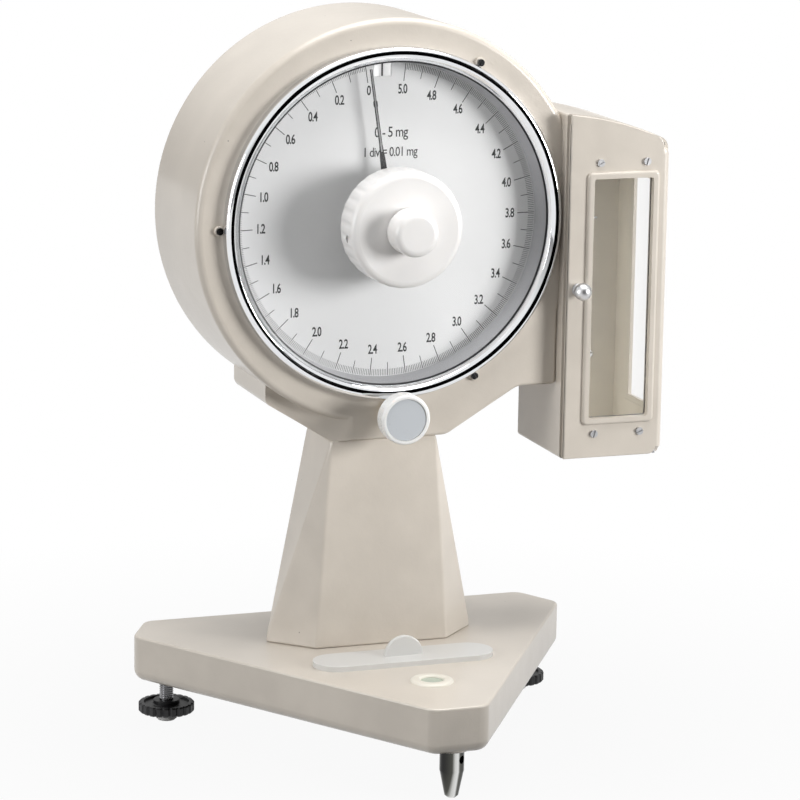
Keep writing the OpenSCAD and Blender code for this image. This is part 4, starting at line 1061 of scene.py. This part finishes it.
# %% World
world = bpy.data.worlds.new("studio")
bpy.context.scene.world = world
world.use_nodes = True
sky = world.node_tree
sky.nodes.clear()
path = sky.nodes.new("ShaderNodeLightPath")
white = sky.nodes.new("ShaderNodeBackground")
white.inputs[0].default_value = (1, 1, 1, 1)
white.inputs[1].default_value = 1.0
soft = sky.nodes.new("ShaderNodeBackground")
soft.inputs[0].default_value = (1, 1, 1, 1)
way = sky.nodes.new("ShaderNodeTexCoord")
height = sky.nodes.new("ShaderNodeSeparateXYZ")
sky.links.new(way.outputs["Generated"], height.inputs[0])
gloss = sky.nodes.new("ShaderNodeMapRange")
for socket, value in zip(list(gloss.inputs)[1:5], (0.0, 0.45, 0.32, 1.0)):
    socket.default_value = value
sky.links.new(height.outputs["Z"], gloss.inputs[0])
strength = sky.nodes.new("ShaderNodeMix")
strength.inputs[2].default_value = 0.2
sky.links.new(path.outputs["Is Glossy Ray"], strength.inputs[0])
sky.links.new(gloss.outputs[0], strength.inputs[3])
sky.links.new(strength.outputs[0], soft.inputs[1])
either = sky.nodes.new("ShaderNodeMath")
either.operation = "MAXIMUM"
sky.links.new(path.outputs["Is Camera Ray"], either.inputs[0])
sky.links.new(path.outputs["Is Transmission Ray"], either.inputs[1])
choose = sky.nodes.new("ShaderNodeMixShader")
out = sky.nodes.new("ShaderNodeOutputWorld")
sky.links.new(either.outputs[0], choose.inputs[0])
sky.links.new(soft.outputs[0], choose.inputs[1])
sky.links.new(white.outputs[0], choose.inputs[2])
sky.links.new(choose.outputs[0], out.inputs[0])
print("world ready")


# %% Lamps
def standing(x1, y1, x2, y2, height):
    """Corners of an upright sheet on the floor between two places."""
    return [(x1, y1, 0), (x2, y2, 0), (x2, y2, height), (x1, y1, height)]


def lamp(name, place, aim, size, watts):
    data = bpy.data.lights.new(name, "AREA")
    data.shape = "DISK"
    data.size = size
    data.energy = watts
    made = bpy.data.objects.new(name, data)
    made.location = place
    made.rotation_mode = "QUATERNION"
    made.rotation_quaternion = (Vector(aim) - Vector(place)).to_track_quat("-Z", "Y")
    bpy.context.scene.collection.objects.link(made)
    return made


lamp("key", (1.49, -1.34, 0.52), (0, 0, 0.27), 0.8, 40)
lamp("fill", (-2.0, -0.35, 0.6), (0, 0, 0.2), 1.2, 23)
lamp("top", (0.3, -0.1, 2.1), (0, 0, 0.2), 2.0, 50)
black = bpy.data.materials.new("card")
black.use_nodes = True
for socket, value in (("Base Color", (0, 0, 0, 1)), ("Specular IOR Level", 0)):
    black.node_tree.nodes["Principled BSDF"].inputs[socket].default_value = value
card = stage_sheet("card", standing(-0.21, -0.67, 0.54, -0.44, 0.75), black)
card.visible_camera = card.visible_diffuse = card.visible_transmission = card.visible_shadow = False
flag = stage_sheet("flag", standing(0.14, -0.56, 0.6, -0.1, 0.15), black)
flag.visible_camera = flag.visible_diffuse = flag.visible_glossy = flag.visible_transmission = False
print("lamps ready")


# %% Camera
def aim_camera(azimuth, elevation, roll, target, distance, lens):
    a, e = math.radians(azimuth), math.radians(elevation)
    back = Vector((math.sin(a) * math.cos(e), -math.cos(a) * math.cos(e), math.sin(e)))
    right = Vector((math.cos(a), math.sin(a), 0))
    up = back.cross(right)
    r = math.radians(roll)
    across = right * math.cos(r) + up * math.sin(r)
    upright = up * math.cos(r) - right * math.sin(r)
    data = bpy.data.cameras.new("camera")
    data.lens, data.sensor_width = lens, 36
    data.clip_start, data.clip_end = 0.05, 50
    made = bpy.data.objects.new("camera", data)
    facing = Matrix((across, upright, back)).transposed().to_4x4()
    made.matrix_world = Matrix.Translation(Vector(target) + back * distance) @ facing
    bpy.context.scene.collection.objects.link(made)
    bpy.context.scene.camera = made
    return made


camera = aim_camera(-19.78, 12.17, 0.91, (0.01258, -0.012, 0.19146), 2.02077, 162)
bpy.context.scene.view_settings.view_transform = "Standard"
print("camera at", [round(c, 3) for c in camera.location])
